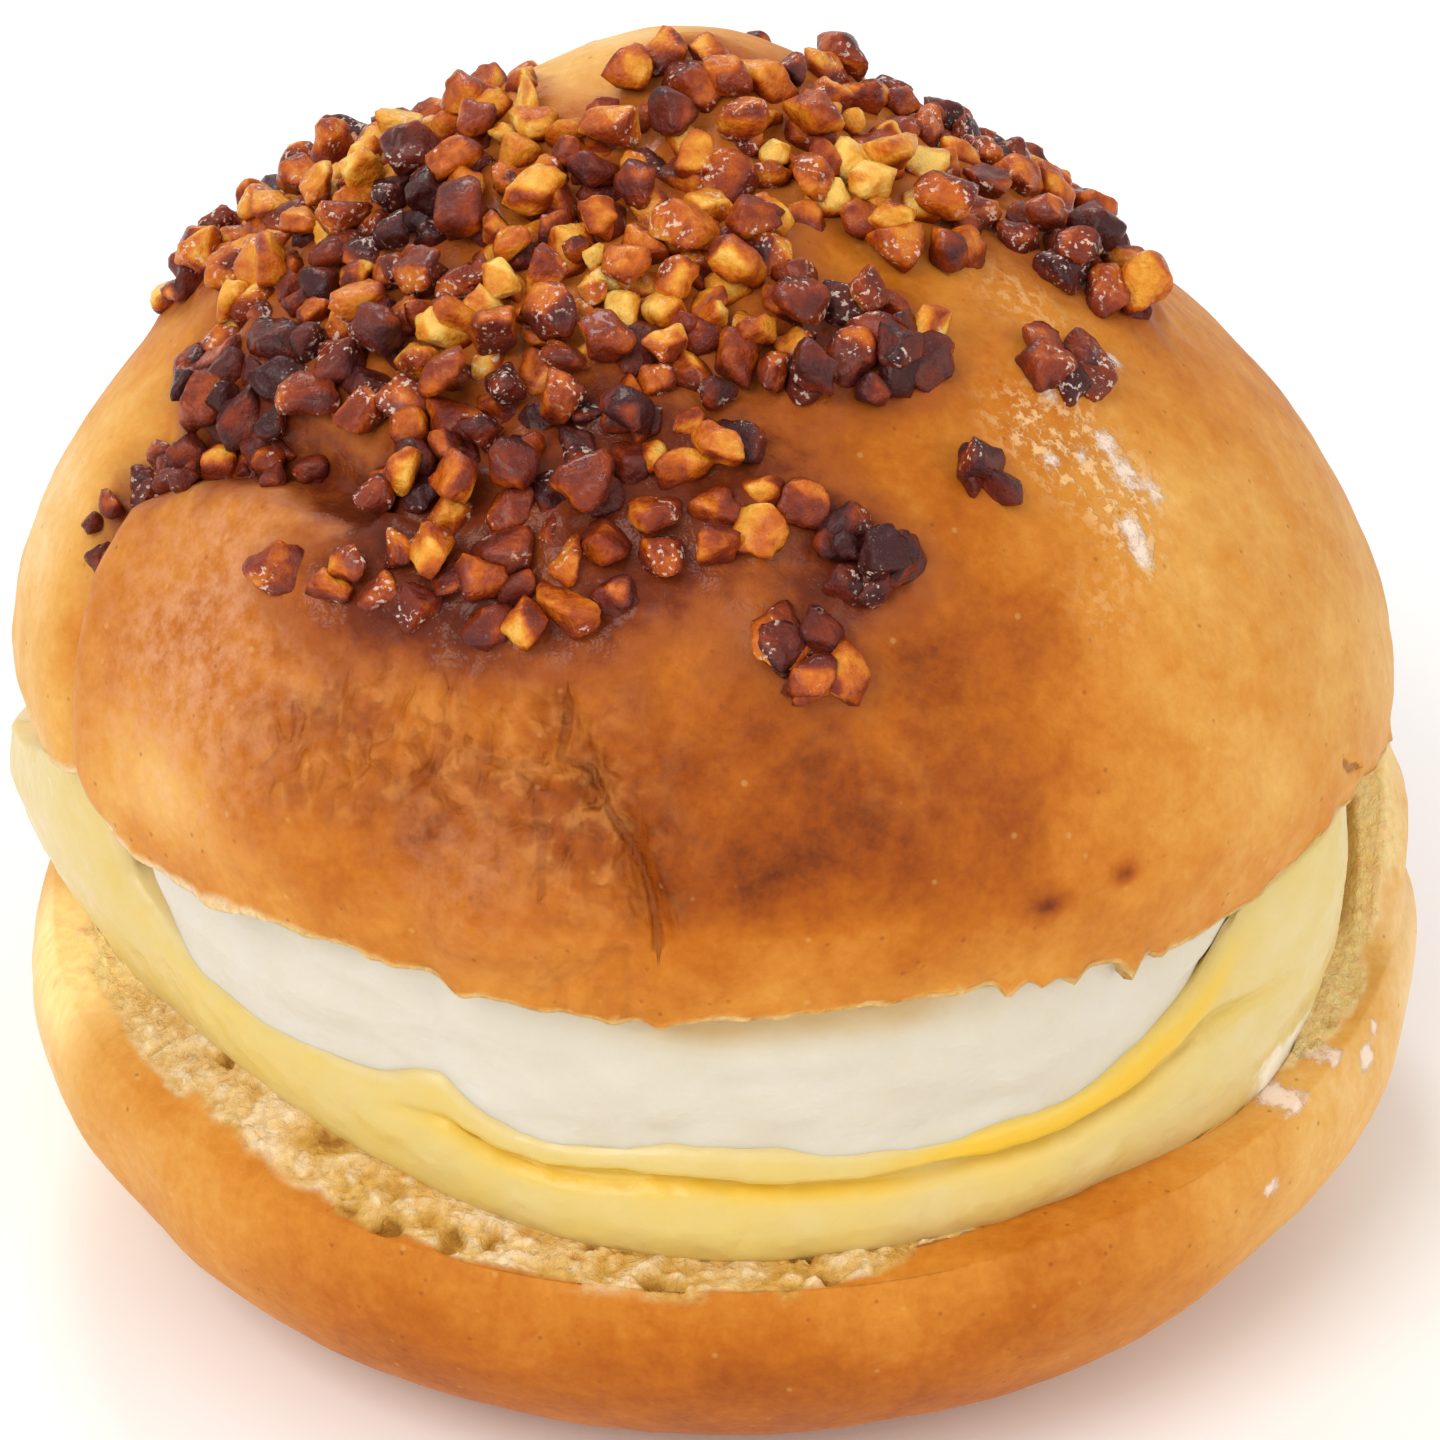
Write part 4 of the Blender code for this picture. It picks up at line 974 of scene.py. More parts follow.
def crust_material():
    """Browned bun crust, with caramel where nuts lie and open crumb where it is cut."""
    skin = Surface("crust", {
        "IOR": 1.42, "Specular IOR Level": 0.20, "Subsurface Weight": 0.08,
        "Subsurface Radius": (1.0, 0.45, 0.20), "Subsurface Scale": 0.0012})
    brown = skin.sum(skin.grain(0.0009, 3.0, 0.65), 0.22, skin.stored("brown"))
    brown = skin.sum(skin.grain(0.0048, 4.0, 0.6, 0.5), 0.34, brown)
    skin.base = skin.ramp(skin.sum(brown, 1.0, -0.28), CRUST_STOPS)
    # pale pinkish patches, partly the skin's own colour and partly a painted sheen
    dust_and_sheen = skin.span(skin.grain(0.0016, 4.0, 0.7), 0.30, 0.75)
    skin.paint(dust_and_sheen, skin.stored("pale_sheen"), DUST_AND_SHEEN)
    skin.paint(skin.dots(0.0031, 0.10), 0.22, SPECKS)
    pores = skin.dots(0.0021, 0.11)
    skin.paint(pores, 0.40, PORES)

    # wrinkled skin: painted shade in the folds' valleys, painted light on raised patches
    creased = skin.stored("creased")
    folds = skin.off(skin.grain(FOLD_GRAIN, 1.8, 0.5, 0.2, 0.55), 0.5)
    valley_shade = skin.times(skin.span(folds, 0.0, 0.11, 1.0, 0.0), creased)
    skin.paint(valley_shade, 0.20, VALLEY_SHADE)
    lit_patches = skin.times(skin.span(skin.grain(0.0021, 2.5, 0.5, 0.2), 0.42, 0.70), creased)
    skin.paint(lit_patches, 0.36, RIDGE_LIGHT)
    # a thin dark line of painted shade along each crack
    crack = skin.off(skin.sum(skin.grain(0.0024), 0.40, skin.stored("crack")), 0.20)
    crack = skin.times(skin.span(crack, 0.12, 0.48, 1.0, 0.0),
                       skin.span(skin.stored("cracked"), 0.05, 0.65))
    skin.paint(crack, 0.55, CRACK_SHADE)

    dry = skin.times(skin.span(skin.grain(0.0010, 3.0, 0.65), 0.46, 0.60), skin.stored("dry"))
    skin.paint(dry, 0.80, FLAKES)
    dabbed = skin.stored("milk")
    milk = skin.span(skin.sum(skin.grain(0.0011, 5.0, 0.75, 0.4), 1.9, dabbed), 1.30, 1.85)
    milk = skin.times(milk, skin.span(dabbed, 0.05, 0.35))
    skin.paint(milk, 0.80, DABS)

    ragged = skin.sum(skin.grain(0.0022, 4.0, 0.65), 0.8, -0.40)
    stained = skin.sum(ragged, 0.8, skin.stored("caramel"))
    skin.paint(skin.span(stained, 0.02, 0.75), 0.66, STAIN)
    syrup = skin.span(stained, 0.30, 0.95)
    # darker caramel, with painted shade in the left crease and between the nuts
    deep_and_shade = skin.sum(ragged, 0.9, skin.stored("deep_and_shade"))
    skin.paint(syrup, 1.0, skin.ramp(deep_and_shade, CARAMEL_STOPS))

    crumb = skin.stored("crumb")
    # the crumb's darkness, lowered at the right as painted light in the shaded pocket
    soaked_and_lit = skin.sum(skin.grain(0.0009, 3.0, 0.6), 0.5, skin.stored("soak_and_light"))
    skin.paint(crumb, 1.0, skin.ramp(soaked_and_lit, CRUMB_STOPS))
    # custard streaks, with painted light against the shade by the hinge
    streaks = skin.grain(STREAK_GRAIN, 3.0, 0.6, 0.0, 0.14)
    skin.paint(skin.stored("yolk"), 1.0, skin.ramp(streaks, YOLK_LIT_STOPS))

    roughness = skin.work("MAXIMUM", skin.span(stained, 0.45, 1.1, 0.50, 0.17), crumb)
    roughness = skin.work("MINIMUM", skin.sum(dry, 0.3, roughness), 0.9)
    fine = skin.sum(skin.grain(0.00045, 2.0, 0.6), 0.35, skin.grain(0.0016, 3.0, 0.5))
    normal = skin.bump(skin.sum(pores, -0.35, fine), 0.00013)
    torn = skin.times(skin.grain(0.0007, 4.0, 0.65, 0.6), crumb)
    normal = skin.bump(torn, 0.0006, normal)
    uneven = skin.times(ragged, syrup)
    for mask, share in ((dry, 0.35), (milk, 0.35), (crack, -0.5), (valley_shade, -0.8), (lit_patches, 0.8)):
        uneven = skin.sum(mask, share, uneven)
    return skin.done(roughness, skin.bump(uneven, 0.0003, normal))


def nut_material(name, coat):
    """A chopped nut fried in caramel, from pale to burnt by its stored tone."""
    nut = Surface(name, {
        "IOR": 1.47, "Specular IOR Level": 0.24, "Subsurface Weight": 0.14,
        "Subsurface Radius": (1.0, 0.5, 0.2), "Subsurface Scale": 0.0010,
        "Coat Weight": coat, "Coat Roughness": 0.07, "Coat IOR": 1.5})
    tone = nut.sum(nut.grain(0.0017, 3.0, 0.6, 0.6), 0.60, nut.stored("tone"))
    tone = nut.sum(nut.grain(0.0005), 0.16, tone)
    nut.base = nut.ramp(nut.sum(tone, 1.0, -0.38), NUT_STOPS)
    # pale sugar specks, which also stand in for painted glints on the glaze
    sugar_glints = nut.times(nut.span(nut.grain(0.00045, 2.0, 0.6), 0.57, 0.64),
                      nut.span(nut.grain(0.0042, 1.0), 0.54, 0.62))
    nut.paint(sugar_glints, 0.65, SUGAR_GLINTS)
    wet = nut.span(nut.grain(0.0014), 0.40, 0.62)
    dents = nut.sum(nut.grain(0.00038, 3.0, 0.6), 0.55, nut.grain(0.0011))
    return nut.done(nut.span(wet, 0.0, 1.0, 0.48, 0.24), nut.bump(dents, 0.00032))


def custard_material():
    """Set custard, more golden where it is squeezed thin and smeared with cream at its edge."""
    egg = Surface("custard_set", {
        "IOR": 1.42, "Subsurface Weight": 0.30, "Subsurface Radius": (1.0, 0.75, 0.30),
        "Subsurface Scale": 0.0022, "Coat Weight": 0.12, "Coat Roughness": 0.22})
    gold = egg.sum(egg.grain(0.0045, 3.0), 0.34, egg.stored("gold"))
    egg.base = egg.ramp(egg.sum(gold, 1.0, -0.17), CUSTARD_STOPS)
    smear = egg.sum(egg.grain(0.0022, 3.0, 0.6, 0.8), 0.6, egg.stored("smear"))
    egg.paint(egg.span(smear, 0.55, 0.80), 1.0, SMEAR)
    lumps = egg.sum(egg.grain(0.0009, 3.0), 0.4, egg.grain(0.0035))
    return egg.done(egg.span(egg.grain(0.0030), 0.3, 0.7, 0.30, 0.46), egg.bump(lumps, 0.00022))


def cream_material():
    """Whipped cream: ivory, yellow where it meets custard, tan with painted lid shadow at its top.
    """
    whip = Surface("cream_whipped", {
        "IOR": 1.40, "Subsurface Weight": 0.35, "Subsurface Radius": (1.0, 0.85, 0.65),
        "Subsurface Scale": 0.0025})
    # the stored value carries the painted shadow of the lid along the cream's top
    tint_and_lid_shadow = whip.sum(whip.grain(0.0050, 3.0, 0.55), 0.5, whip.stored("tint_and_lid_shadow"))
    whip.base = whip.ramp(whip.sum(tint_and_lid_shadow, 1.0, -0.25), CREAM_AND_SHADOW_STOPS)
    folds = whip.sum(whip.grain(0.0008, 3.0, 0.6), 0.35, whip.grain(0.0040, 3.0, 0.5, 0.6))
    return whip.done(whip.span(whip.grain(0.0020), 0.3, 0.7, 0.42, 0.58),
                     whip.bump(folds, 0.00024))


# ---- lid

def near_nuts(points, nuts):
    """How much caramel the nuts round each of the crust's points have, 0 far from them."""
    close = np.zeros(points.shape[:-1])
    for nut in nuts:
        off = np.linalg.norm(points - nut["corners"].mean(axis=0), axis=-1)
        close = close + bell(off, CARAMEL_REACH * nut["size"])
    return CARAMEL_MOST * (1.0 - np.exp(-close / CARAMEL_MOST))


def crack_lines(azimuth, rise):
    """How far the cracks move the crust's points out; how far off the nearest crack is, in
    millimetres, less than 0 on its left; and how much of a crack it is."""
    dome, out = lid_dome(azimuth, rise)
    wander = drift(dome, 0.0042, 101)
    height = np.zeros(dome.shape[:-1])
    off_crack = np.full(dome.shape[:-1], CRACK_FAR)
    cracked = np.zeros(dome.shape[:-1])
    for path, depth, width, amount in LID_CRACKS.values():
        off, right = beside_path(dome + CRACK_WANDER * wander, out, path)
        near = amount * bell(off, CRACK_NEAR)
        off_crack = np.where(near > cracked, np.where(right, off, -off) / MM, off_crack)
        cracked = np.maximum(near, cracked)
        line = bell(off, width) * (0.75 + 0.5 * wander[..., 0])
        bank = bell(off / width - 2.2, 1.0) * (0.5 + 0.8 * wander[..., 1])
        height = height + depth * (0.40 * bank - line)
    return height, off_crack, cracked


def lid_piece(nuts, material):
    """The lid: crust with caramel banked up round the nuts, and its cut face below."""
    azimuth = fine_azimuths(LID_AZIMUTHS)[None, :]
    low_rings = round(LID_RISES * LID_LOW_SHARE)
    share = np.concatenate([
        np.linspace(0.0, LID_LOW_PART, low_rings, endpoint=False),
        np.linspace(LID_LOW_PART, LID_LAST_RISE, LID_RISES - low_rings)])[:, None]
    rise = mix(around(azimuth, LID_RIM), 1.0, share)
    crust, out = lid_crust(azimuth, rise)
    spread = on_circle(azimuth, LID_MAP * (1.0 - rise), 0.0) / MM

    def spots(table):
        """Sum of a table's spots at the crust's points."""
        return map_spots(spread[..., 0], spread[..., 1], table)

    waves = noise(crust, *LID_WAVES)
    bumps = noise(crust, *LID_BUMPS)
    close = near_nuts(crust, nuts)
    crease, _ = beside_path(lid_dome(azimuth, rise)[0], out, LID_FOLDS["left_fold"][0])
    crease = bell(crease, CREASE_CARAMEL) * ease(*CREASE_CARAMEL_RISE, rise)
    caramel = close * 0.95 + spots(CARAMEL_SPOTS) * 0.35
    caramel = np.clip(np.maximum(caramel, crease * (1.1 + 0.5 * bumps)), 0.0, 1.3)
    wrinkled = swelling(azimuth, rise, WRINKLES) * (1.0 + 0.5 * waves)
    flowed = np.stack(np.broadcast_arrays(
        np.radians(azimuth) * LID_RADIUS_X, rise * LID_MAP * 0.45, 0.0), axis=-1)
    folds = bell(noise(flowed + crust * 0.25, *WRINKLE_FOLDS), 0.34)
    folds = folds + 0.5 * bell(noise(crust, *WRINKLE_FINE), 0.30)
    height = LID_WAVE_HEIGHT * waves + LID_BUMP_HEIGHT * bumps
    height = height - WRINKLE_DEPTH * wrinkled * (folds - 0.5)
    height = height + CARAMEL_RISE * close * (0.9 + 0.35 * bumps)
    height = height + RAGGED_HEIGHT * noise(crust, *RAGGED_RIM) * bell(share, RAGGED_SHARE)
    cracks, off_crack, cracked = crack_lines(azimuth, rise)
    height = (height + cracks) * ease(1.0, 0.97, share / LID_LAST_RISE)
    crust = crust + out * height[..., None]
    brown = LID_BROWN + swelling(azimuth, rise, LID_SHADES) + spots(LID_SPOTS)
    # random browning, and browner in the wrinkles' valleys, which is painted shade
    brown = brown + 0.09 * waves + 0.05 * bumps + 0.06 * wrinkled * (folds - 0.60)
    edge_wide = mix(*EDGE_WIDE, shown(azimuth, PALE_EDGE))
    edge = ease(edge_wide, 0.15 * edge_wide, share + 0.005 * noise(crust, *EDGE_RAGGED))
    for middle, wide, drop in RIM_TEETH:
        crust[..., 2] -= drop * bell(turned(azimuth - middle), wide) * bell(share, TOOTH_SHARE)
    # darker by dark nuts and thick caramel, plus painted shade in the left crease and round nuts
    deep_and_shade = (0.06 + 0.6 * spots(TONE_SPOTS) + 0.22 * spots(CARAMEL_SPOTS) + 0.45 * crease
            + 0.14 * close)
    cut = crust[:1] * np.array(CUT_SHARES)[:, None, None]
    cut[..., 2] += CUT_HEIGHT * noise(cut, *CUT_UNEVEN)

    def above_cut(value, below=0.0):
        """A value of the crust's points, over one for the cut face's."""
        value = np.broadcast_to(value, crust.shape[:2])
        return np.pad(value, ((len(CUT_SHARES), 0), (0, 0)), constant_values=below)

    values = dict.fromkeys(CRUST_KEYS, 0.0)
    for key, value in {"deep_and_shade": deep_and_shade, "creased": wrinkled, "dry": spots(DRY_SPOTS),
                       "milk": spots(MILK_SPOTS), "pale_sheen": spots(PALE_SHEEN_SPOTS)}.items():
        values[key] = above_cut(clipped(value))
    values.update({
        "brown": above_cut(brown, 0.3), "caramel": above_cut(caramel),
        "crumb": above_cut(edge, 1.0), "soak_and_light": 0.25 - 0.25 * shown(azimuth, PALE_EDGE),
        "crack": above_cut(off_crack, CRACK_FAR), "cracked": above_cut(cracked)})
    rings = lid_place(np.concatenate([cut, crust]))
    ring_piece("lid_crust", rings, material, values, "bun_top")


# ---- nuts

def unit_ball(fineness):
    """Directions and faces of a fine ball."""
    bm = bmesh.new()
    bmesh.ops.create_icosphere(bm, subdivisions=fineness, radius=1.0)
    points = np.array([vertex.co[:] for vertex in bm.verts])
    faces = np.array([[vertex.index for vertex in face.verts] for face in bm.faces])
    bm.free()
    return points, faces


def rounded_nut(draw, corners, ball):
    """A ball pushed out to the softened hull of a nut's corners, and each point's own tone."""
    bm = bmesh.new()
    middle = corners.mean(axis=0)
    for corner in corners - middle:
        bm.verts.new(corner)
    hull = bmesh.ops.convex_hull(bm, input=bm.verts)
    bmesh.ops.delete(bm, geom=hull["geom_interior"], context="VERTS")
    bmesh.ops.recalc_face_normals(bm, faces=bm.faces)
    normals = np.array([face.normal[:] for face in bm.faces])
    reach = np.array([face.normal.dot(face.verts[0].co) for face in bm.faces])
    bm.free()
    pull = (np.maximum(ball @ normals.T, 0.0) / np.maximum(reach, NUT_REACH)) ** NUT_CRISP
    total = pull.sum(axis=1)
    facets = draw.normal(0.0, FACET_TONES, len(reach))
    points = middle + ball * (NUT_PLUMP * total ** (-1.0 / NUT_CRISP))[:, None]
    return points, pull @ facets / total


def chip_bed(nuts):
    """Smaller chips of nut in and on the patches' gaps, and in the left crease."""
    draw = np.random.default_rng(CHIP_SEED)
    chips = []
    for sizes, tries, spacing, layer, spread in CHIP_CLASSES:
        level = round(layer)
        taken = [(nut["x"], nut["y"], nut["size"]) for nut in nuts + chips
                 if round(nut["layer"]) == level]
        for patch in NUT_PATCHES.values():
            count, stacked = patch[5:]
            if level > 0 and (count < CHIPS_PILED or stacked < 1):
                continue
            for _ in range(count * tries):
                x, y, size = patch_spot(draw, patch, spread, sizes)
                other = np.array(taken)
                off = np.hypot(other[:, 0] - x, other[:, 1] - y)
                if (off > spacing * (other[:, 2] + size)).all():
                    taken.append((x, y, size))
                    chips.append(chopped_nut(draw, x, y, size, layer))
    for spot in CHIPS_ALONE:
        x, y, size = np.array(spot) * MM
        chips.append(chopped_nut(draw, x, y, size, 0.0))
    path = LID_FOLDS["left_fold"][0][2:6]
    for _ in range(CREASE_CHIPS):
        leg = int(draw.integers(len(path) - 1))
        azimuth, rise = mix(np.array(path[leg]), np.array(path[leg + 1]), draw.random())
        angle = math.radians(azimuth + draw.normal(0.0, CREASE_CHIP_TURN))
        out = LID_MAP * (1.0 - rise - draw.normal(*CREASE_CHIP_RISE))
        x, y = out * math.cos(angle), out * math.sin(angle)
        size = mix(*CREASE_CHIP_SIZE, draw.random())
        chips.append(chopped_nut(draw, x, y, size, 0.0))
    return chips


def nut_pieces(nuts, chips):
    """The chopped nuts as one piece for each kind, sorted by how dark they are."""
    draw = np.random.default_rng(TONE_SEED)
    heaps = {name: {"points": [], "faces": [], "tone": [], "count": 0} for name in NUT_KINDS}
    for group, fineness in ((nuts, NUT_FINENESS), (chips, CHIP_FINENESS)):
        ball, ball_faces = unit_ball(fineness)
        for nut in group:
            tone = NUT_TONE + draw.normal(0.0, NUT_TONES)
            tone += float(map_spots(nut["x"] / MM, nut["y"] / MM, TONE_SPOTS))
            points, facets = rounded_nut(draw, nut["corners"], ball)
            uneven = NUT_UNEVEN * noise(points, 0.5 * nut["size"], NUT_NOISE)[:, None]
            points = points + (points - points.mean(axis=0)) * uneven
            place, out = crust_place(nut["x"], nut["y"])
            sunk = ease(*CARAMEL_LINE, (points - place) @ out - CARAMEL_RISE)
            heap = heaps[next(name for name, (limit, _) in NUT_KINDS.items() if tone < limit)]
            heap["points"].append(points)
            heap["faces"].append(ball_faces + heap["count"])
            heap["tone"].append(mix(tone + facets, SUNK_TONE, SUNK_SHARE * sunk))
            heap["count"] += len(points)
    for name, heap in heaps.items():
        points = lid_place(np.concatenate(heap["points"]))
        faces = np.concatenate(heap["faces"]).tolist()
        material = nut_material(name, NUT_KINDS[name][1])
        make_piece(name, points, faces, material, {"tone": np.concatenate(heap["tone"])})


# ---- lower half and filling

def base_piece(material):
    """The lower half: browned crust, and a torn cut face full of bubbles."""
    azimuth = fine_azimuths(BASE_AZIMUTHS)
    side = turned(azimuth)
    lip = hinge(azimuth)
    rim = oval(azimuth, BASE_RADIUS_X, BASE_RADIUS_Y) * (1.0 - BASE_RIM_INSET)
    rim = rim + swelling(azimuth, 1.0, BASE_SWELLS)
    shelf = around(azimuth, CUSTARD_FOOT) + GAP
    mound = crumb_height(azimuth) - BASE_CUT
    crust = base_crust(azimuth, np.linspace(0.0, 1.0, BASE_RISES)[:, None])
    over = lid_place(lid_rim(azimuth))
    lid_rim_radius = off_axis(over)
    bulge = HINGE_BULGE * ease(0.0, HINGE_HEIGHT, over[:, 2] - BASE_CUT)
    stations = [crust[-1]]
    lip_rings = ((mix(rim, lid_rim_radius, HINGE_LEAN) + bulge, 0.5),
                 (lid_rim_radius, 1.0), (lid_rim_radius - HINGE_THICK, 1.0))
    for inset, (lip_radius, share) in zip(CUT_STEPS, lip_rings):
        radius = mix(rim - inset, lip_radius, lip)
        full = (under_lid(azimuth, radius) - BASE_CUT) * share
        slope = mound * (rim - radius) / (rim - shelf)
        stations.append(on_circle(azimuth, radius, BASE_CUT + mix(slope, full, lip)))
    stations.append(on_circle(azimuth, shelf, BASE_CUT + mound))
    torn = filled_in(np.array(stations), CRUMB_STEPS)[1:]
    inner = on_circle(azimuth, shelf * 0.5, BASE_CUT + mound * 0.5)[None]
    rings = np.concatenate([crust, torn, inner])

    level = np.arange(len(rings))[:, None] - (BASE_RISES - 1.0)
    rise = clipped(level / BASE_RISES + 1.0)
    waves = noise(rings, *BASE_WAVES)
    browned = around(azimuth, CUT_CRUST) - 0.12 * noise(rings, *CUT_RAGGED)
    torn_share = ease(-0.06, 0.06, clipped(level / sum(CRUMB_STEPS)) - browned)
    torn_share = torn_share * ease(-5.0, 0.0, level) * (1.0 - 0.75 * lip * ease(30.0, 10.0, level))
    inside = ease(len(rings) - 1.0, len(rings) - 6.0, level + BASE_RISES)
    bent = rings + CRUMB_BEND * drift(rings, *CRUMB_DRIFT)
    holes = bubbles(bent, *CRUMB_HOLES)
    lumps = bubbles(bent, *CRUMB_LUMPS)
    fibres = noise(bent, *CRUMB_FIBRES)
    relief = FIBRE_HEIGHT * fibres + LUMP_HEIGHT * lumps - HOLE_DEPTH * np.sqrt(holes)
    relief = relief - SMALL_HOLE_DEPTH * np.sqrt(bubbles(bent, *CRUMB_SMALL_HOLES))
    height = torn_share * inside * relief * (1.0 - 0.8 * within(side, CALM_CRUMB))
    height = height + (1.0 - torn_share) * ease(0.0, 0.2, rise) * (
        BASE_WAVE_HEIGHT * waves + BASE_BUMP_HEIGHT * noise(rings, *BASE_BUMPS))

    soak_and_light = 0.20 + 0.8 * holes - 0.30 * fibres - 0.46 * lumps + 0.30 * noise(rings, *SOAK_CLOUDS)
    smeared = ease(*HINGE_YOLK, rings[..., 2] + 0.0016 * waves)
    smeared = smeared * np.maximum(torn_share, ease(10.0, -6.0, side + 7.0 * waves))
    spilt = shown(azimuth, CUSTARD_SPILT) * ease(0.70, 1.0, rise + 0.12 * waves)
    values = dict.fromkeys(CRUST_KEYS, 0.0)
    values.update({
        "brown": BASE_BROWN + swelling(azimuth, rise, BASE_SHADES) + 0.08 * waves,
        # crumb's darkness, lowered at the right: painted light that lifts the shade in the pocket
        "crumb": torn_share, "soak_and_light": clipped(soak_and_light - 0.45 * within(side, LIT_CRUMB)),
        "milk": clipped(swelling(azimuth, rise, BASE_DABS)),
        # custard streaks, laid on strongly as painted light in the shaded gap by the hinge
        "yolk": clipped(within(side, YOLK_BAND) * np.maximum(0.9 * torn_share, smeared) + spilt)})
    ring_piece("base_bread", moved_out(rings, height), material, values, "bun_base")


def custard_piece(material):
    """The custard: two soft beads with a golden crease, under and beside the cream."""
    azimuth = fine_azimuths(FILLING_AZIMUTHS)
    side = turned(azimuth)
    foot = around(azimuth, CUSTARD_FOOT)
    brow = around(azimuth, CUSTARD_BROW)
    floor = crumb_height(azimuth) - CUSTARD_SUNK
    shows = shown(azimuth, CREAM_SHOWS)
    cream_foot = around(azimuth, CREAM_FOOT)
    edge = mix(under_lid(azimuth, brow), cream_foot, shows)
    crease = np.clip(around(azimuth, CREASE_HEIGHT), mix(floor, edge, CREASE_BETWEEN[0]),
                     mix(floor, edge, CREASE_BETWEEN[1]))
    crease_shows = shown(azimuth, CREASE_SHOWS)
    parting = (crease - floor) / (edge - floor)
    share = np.linspace(0.0, 1.0, CUSTARD_RINGS)[:, None]
    below = clipped(share / parting)
    above = clipped((share - parting) / (1.0 - parting))
    z = mix(floor, edge, share)
    radius = mix(foot, brow, CREASE_OUT * below + (1.0 - CREASE_OUT) * clipped(above * 2.0))
    whole, lower, upper = (np.sin(math.pi * part) ** BEAD_ROUND for part in (share, below, above))
    bulge = BEAD_BULGE * (1.0 - hinge(azimuth))
    radius = radius + bulge * mix(whole, lower + UPPER_BEAD * upper, crease_shows)
    radius = radius - CREASE_DEPTH * crease_shows * bell(z - crease, CREASE_WIDE)
    radius = radius - TUCK_DEPTH * clipped((share - TUCK_SHARE) / (1.0 - TUCK_SHARE)) ** 2 * shows
    wall = np.minimum(brow - WALL_INSET, around(azimuth, CREAM_REACH) + CREAM_LEAN + WALL_THICK)
    bed = wall - WALL_INSET
    face = on_circle(azimuth, radius, z)
    hidden = np.array([
        face[-1], on_circle(azimuth, wall, mix(under_lid(azimuth, wall), cream_foot, shows)),
        on_circle(azimuth, bed, cream_foot),
        on_circle(azimuth, bed * 0.5, (cream_foot + CREAM_FOOT_MIDDLE) * 0.5)])
    under = on_circle(azimuth, foot * 0.5, (floor + BASE_CUT + GAP) * 0.5)[None]
    rings = np.concatenate([under, face, filled_in(hidden, HIDDEN_STEPS)[1:]])
    waves = noise(rings, *CUSTARD_WAVES)
    height = CUSTARD_WAVE_HEIGHT * waves + CUSTARD_BUMP_HEIGHT * noise(rings, *CUSTARD_BUMPS)
    height = height * within(np.arange(len(rings))[:, None],
                             (0.0, 4.0, len(rings) - 4.0, len(rings) - 2.0))

    def carried(value):
        """A value of the face's points, carried over the hidden rings."""
        value = np.broadcast_to(value, (CUSTARD_RINGS, len(azimuth)))
        return np.pad(value, ((1, len(rings) - 1 - CUSTARD_RINGS), (0, 0)), mode="edge")

    right = ease(-75.0, -48.0, side) * (1.0 - hinge(azimuth))
    left = ease(-152.0, -163.0, side) + ease(150.0, 165.0, side)
    golden = within(side, GOLDEN)
    gold = 0.37 + 0.46 * bell(z - crease, GOLD_WIDE) * crease_shows * (1.0 - 0.6 * golden)
    gold = gold + 0.62 * bell(share - 0.86, 0.10) * golden
    # paler at the right and at the top ledge under the cream: painted light against their shade
    gold = gold - 0.05 * right - 0.12 * left + 0.08 * waves[1:1 + CUSTARD_RINGS]
    gold = gold - 0.20 * ease(0.88, 1.0, share) * shows * (1.0 - golden)
    smear = right * ease(0.35, 0.05, share) * 0.60 * ease(-42.0, -34.0, side) + 0.2 * left
    ring_piece("custard_beads", moved_out(rings, height), material,
               {"gold": carried(gold), "smear": carried(smear)}, "custard")


def cream_piece(material):
    """The whipped cream between the custard and the lid."""
    azimuth = fine_azimuths(FILLING_AZIMUTHS)
    side = turned(azimuth)
    foot = around(azimuth, CREAM_REACH)
    floor = around(azimuth, CREAM_FOOT) - CREAM_SUNK
    middle = CREAM_FOOT_MIDDLE + LIP_GAP
    ceiling = under_lid(azimuth, foot + CREAM_LEAN)
    share = np.linspace(0.0, 1.0, CREAM_RINGS)[:, None]
    out, level = CREAM_BELLY
    radius = foot + CREAM_LEAN * np.minimum(share / level * out,
                                            out + (share - level) / (1.0 - level) * (1.0 - out))
    radius = radius + CREAM_SPREAD * (1.0 - clipped(share / CREAM_SPREAD_SHARE)) ** 2
    lowest = on_circle(azimuth, foot * 0.5, (floor + middle) * 0.5)[None]
    half = (foot + CREAM_LEAN) * 0.5
    highest = on_circle(azimuth, half, under_lid(azimuth, half))[None]
    rings = np.concatenate(
        [lowest, on_circle(azimuth, radius, mix(floor, ceiling, share)), highest])
    waves = noise(rings * np.array([1.0, 1.0, 1.8]), *CREAM_WAVES)
    height = CREAM_WAVE_HEIGHT * waves + CREAM_BUMP_HEIGHT * noise(rings, *CREAM_BUMPS)
    height = height * within(np.arange(len(rings))[:, None],
                             (0.0, 3.0, len(rings) - 4.0, len(rings) - 1.0))
    # upper edge: painted shadow of the lid, heaviest at the azimuths above; foot: yellow by custard
    tint_and_lid_shadow = 0.20 + (0.10 + 0.70 * within(side, LID_SHADOW_ON_CREAM)) * ease(0.68, 0.94, share)
    tint_and_lid_shadow = tint_and_lid_shadow + 0.12 * ease(0.16, 0.04, share) - 0.12 * ease(-100.0, -112.0, side)
    tint_and_lid_shadow = np.pad(tint_and_lid_shadow, ((1, 1), (0, 0)), mode="edge")
    ring_piece("cream_face", moved_out(rings, height), material, {"tint_and_lid_shadow": tint_and_lid_shadow}, "cream")


# ---- stage

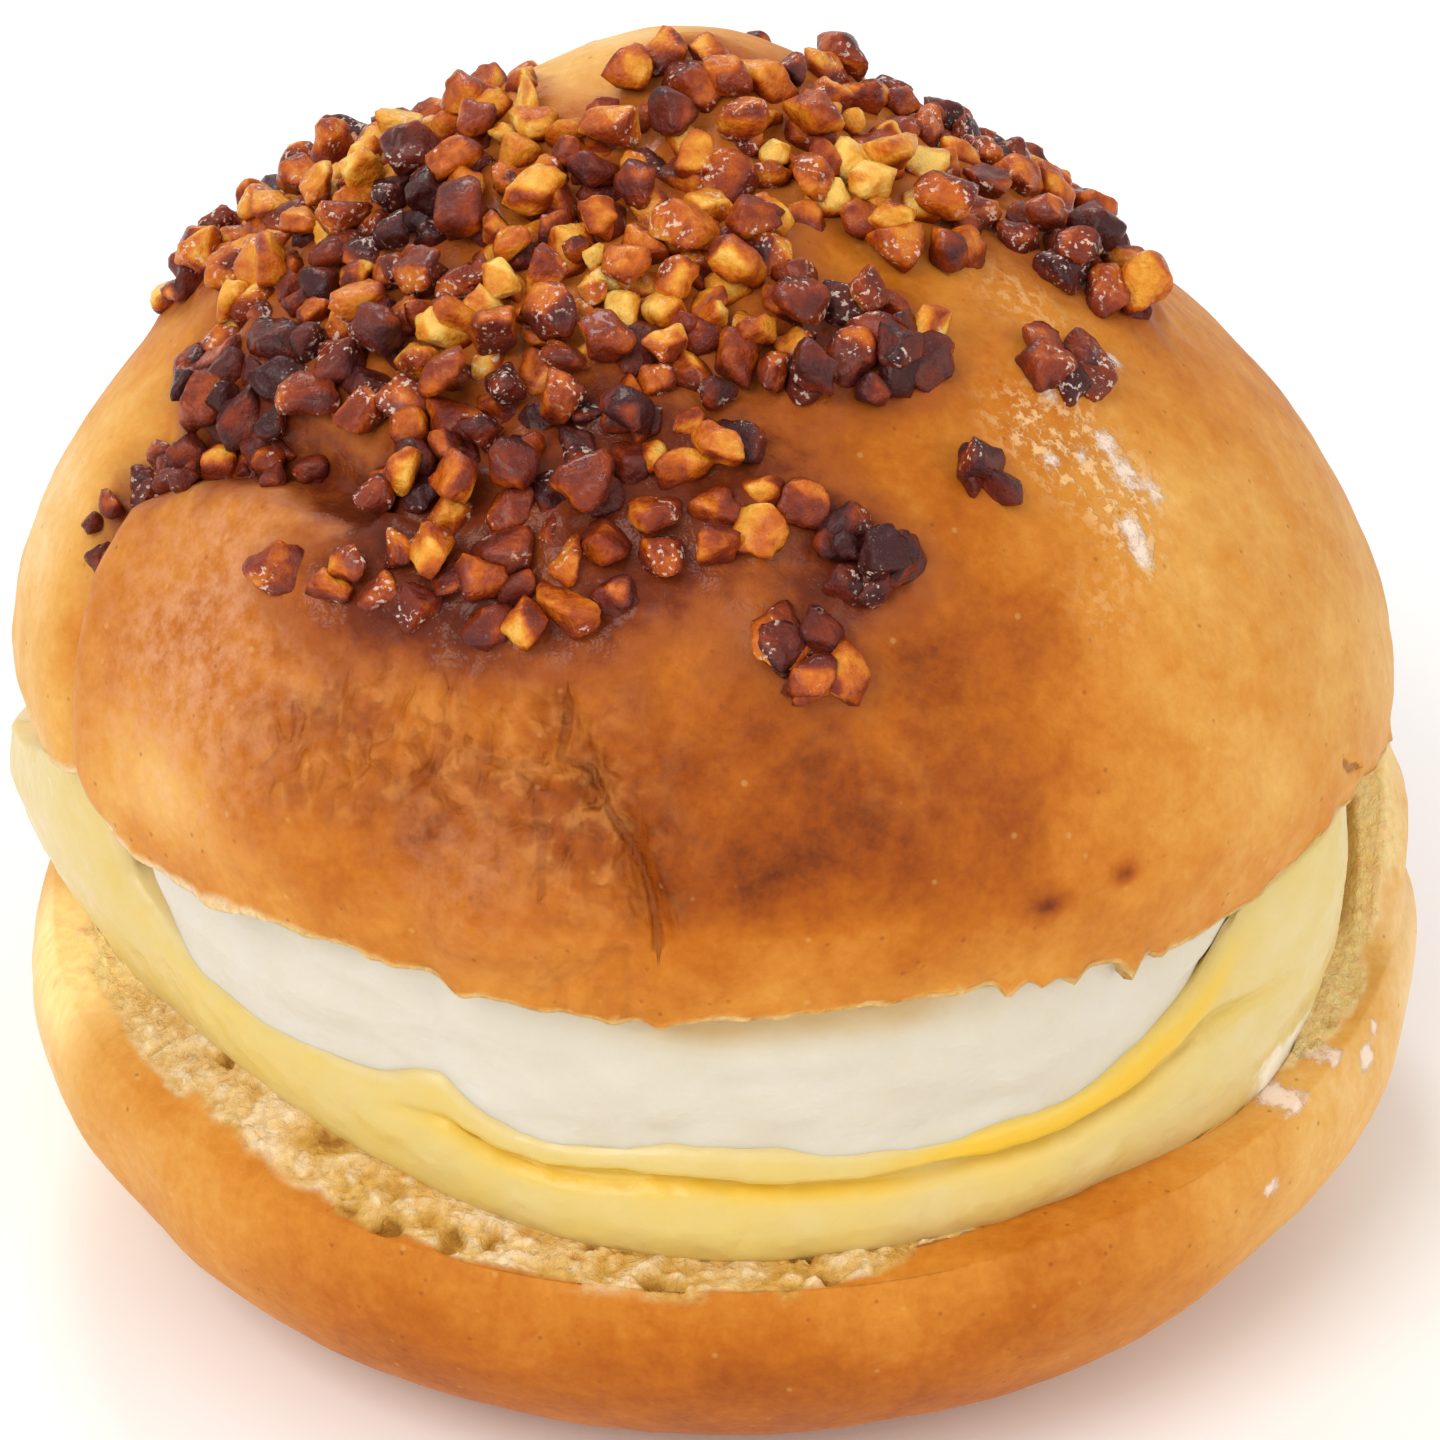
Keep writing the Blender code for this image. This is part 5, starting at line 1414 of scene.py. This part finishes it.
def aimed(name, data, place, toward):
    """A lamp or a camera at a place, looking in a direction."""
    made = bpy.data.objects.new(name, data)
    made.location = place
    made.rotation_mode = "QUATERNION"
    made.rotation_quaternion = Vector(toward).to_track_quat("-Z", "Y")
    bpy.context.scene.collection.objects.link(made)
    return made


def add_stage():
    """The pale floor, soft light and the camera at the photo's angle."""
    scene = bpy.context.scene
    scene.view_settings.view_transform = "Standard"
    world = bpy.data.worlds.new("studio")
    world.use_nodes = True
    sky = world.node_tree.nodes["Background"].inputs
    sky["Color"].default_value = (1.0, 1.0, 1.0, 1.0)
    sky["Strength"].default_value = WORLD_STRENGTH
    scene.world = world
    mesh = bpy.data.meshes.new("floor")
    mesh.from_pydata([(x * FLOOR_HALF, y * FLOOR_HALF, 0.0) for x, y in FLOOR_CORNERS],
                     [], [(0, 1, 2, 3)])
    paper = Surface("paper", {"Specular IOR Level": 0.1})
    paper.base = paper.ramp(paper.grain(0.05), PAPER_STOPS)
    mesh.materials.append(paper.done(0.8, paper.bump(paper.grain(0.002, 3.0), 0.00002)))
    floor = bpy.data.objects.new("floor", mesh)
    scene.collection.objects.link(floor)
    for name, (place, half_size, power, shade) in LIGHTS.items():
        lamp = bpy.data.lights.new(name, "AREA")
        lamp.size = 2.0 * half_size
        lamp.energy = power
        lamp.color = shade
        aimed(name, lamp, place, CAMERA_TARGET - np.array(place))
    lens = bpy.data.cameras.new("camera")
    lens.lens = CAMERA_LENS
    lens.sensor_width = CAMERA_SENSOR
    lens.clip_start = CAMERA_CLIP
    up = math.radians(CAMERA_ELEVATION)
    back = np.array([0.0, -math.cos(up), math.sin(up)])
    place = CAMERA_TARGET + SHIFT + CAMERA_DISTANCE * back
    scene.camera = aimed("camera", lens, place, -back)


def build():
    """Makes every visible piece of the bun, and the stage."""
    add_stage()
    crust = crust_material()
    nuts = nut_bed()
    chips = chip_bed(nuts)
    lid_piece(nuts, crust)
    nut_pieces(nuts, chips)
    base_piece(crust)
    custard_piece(custard_material())
    cream_piece(cream_material())


build()
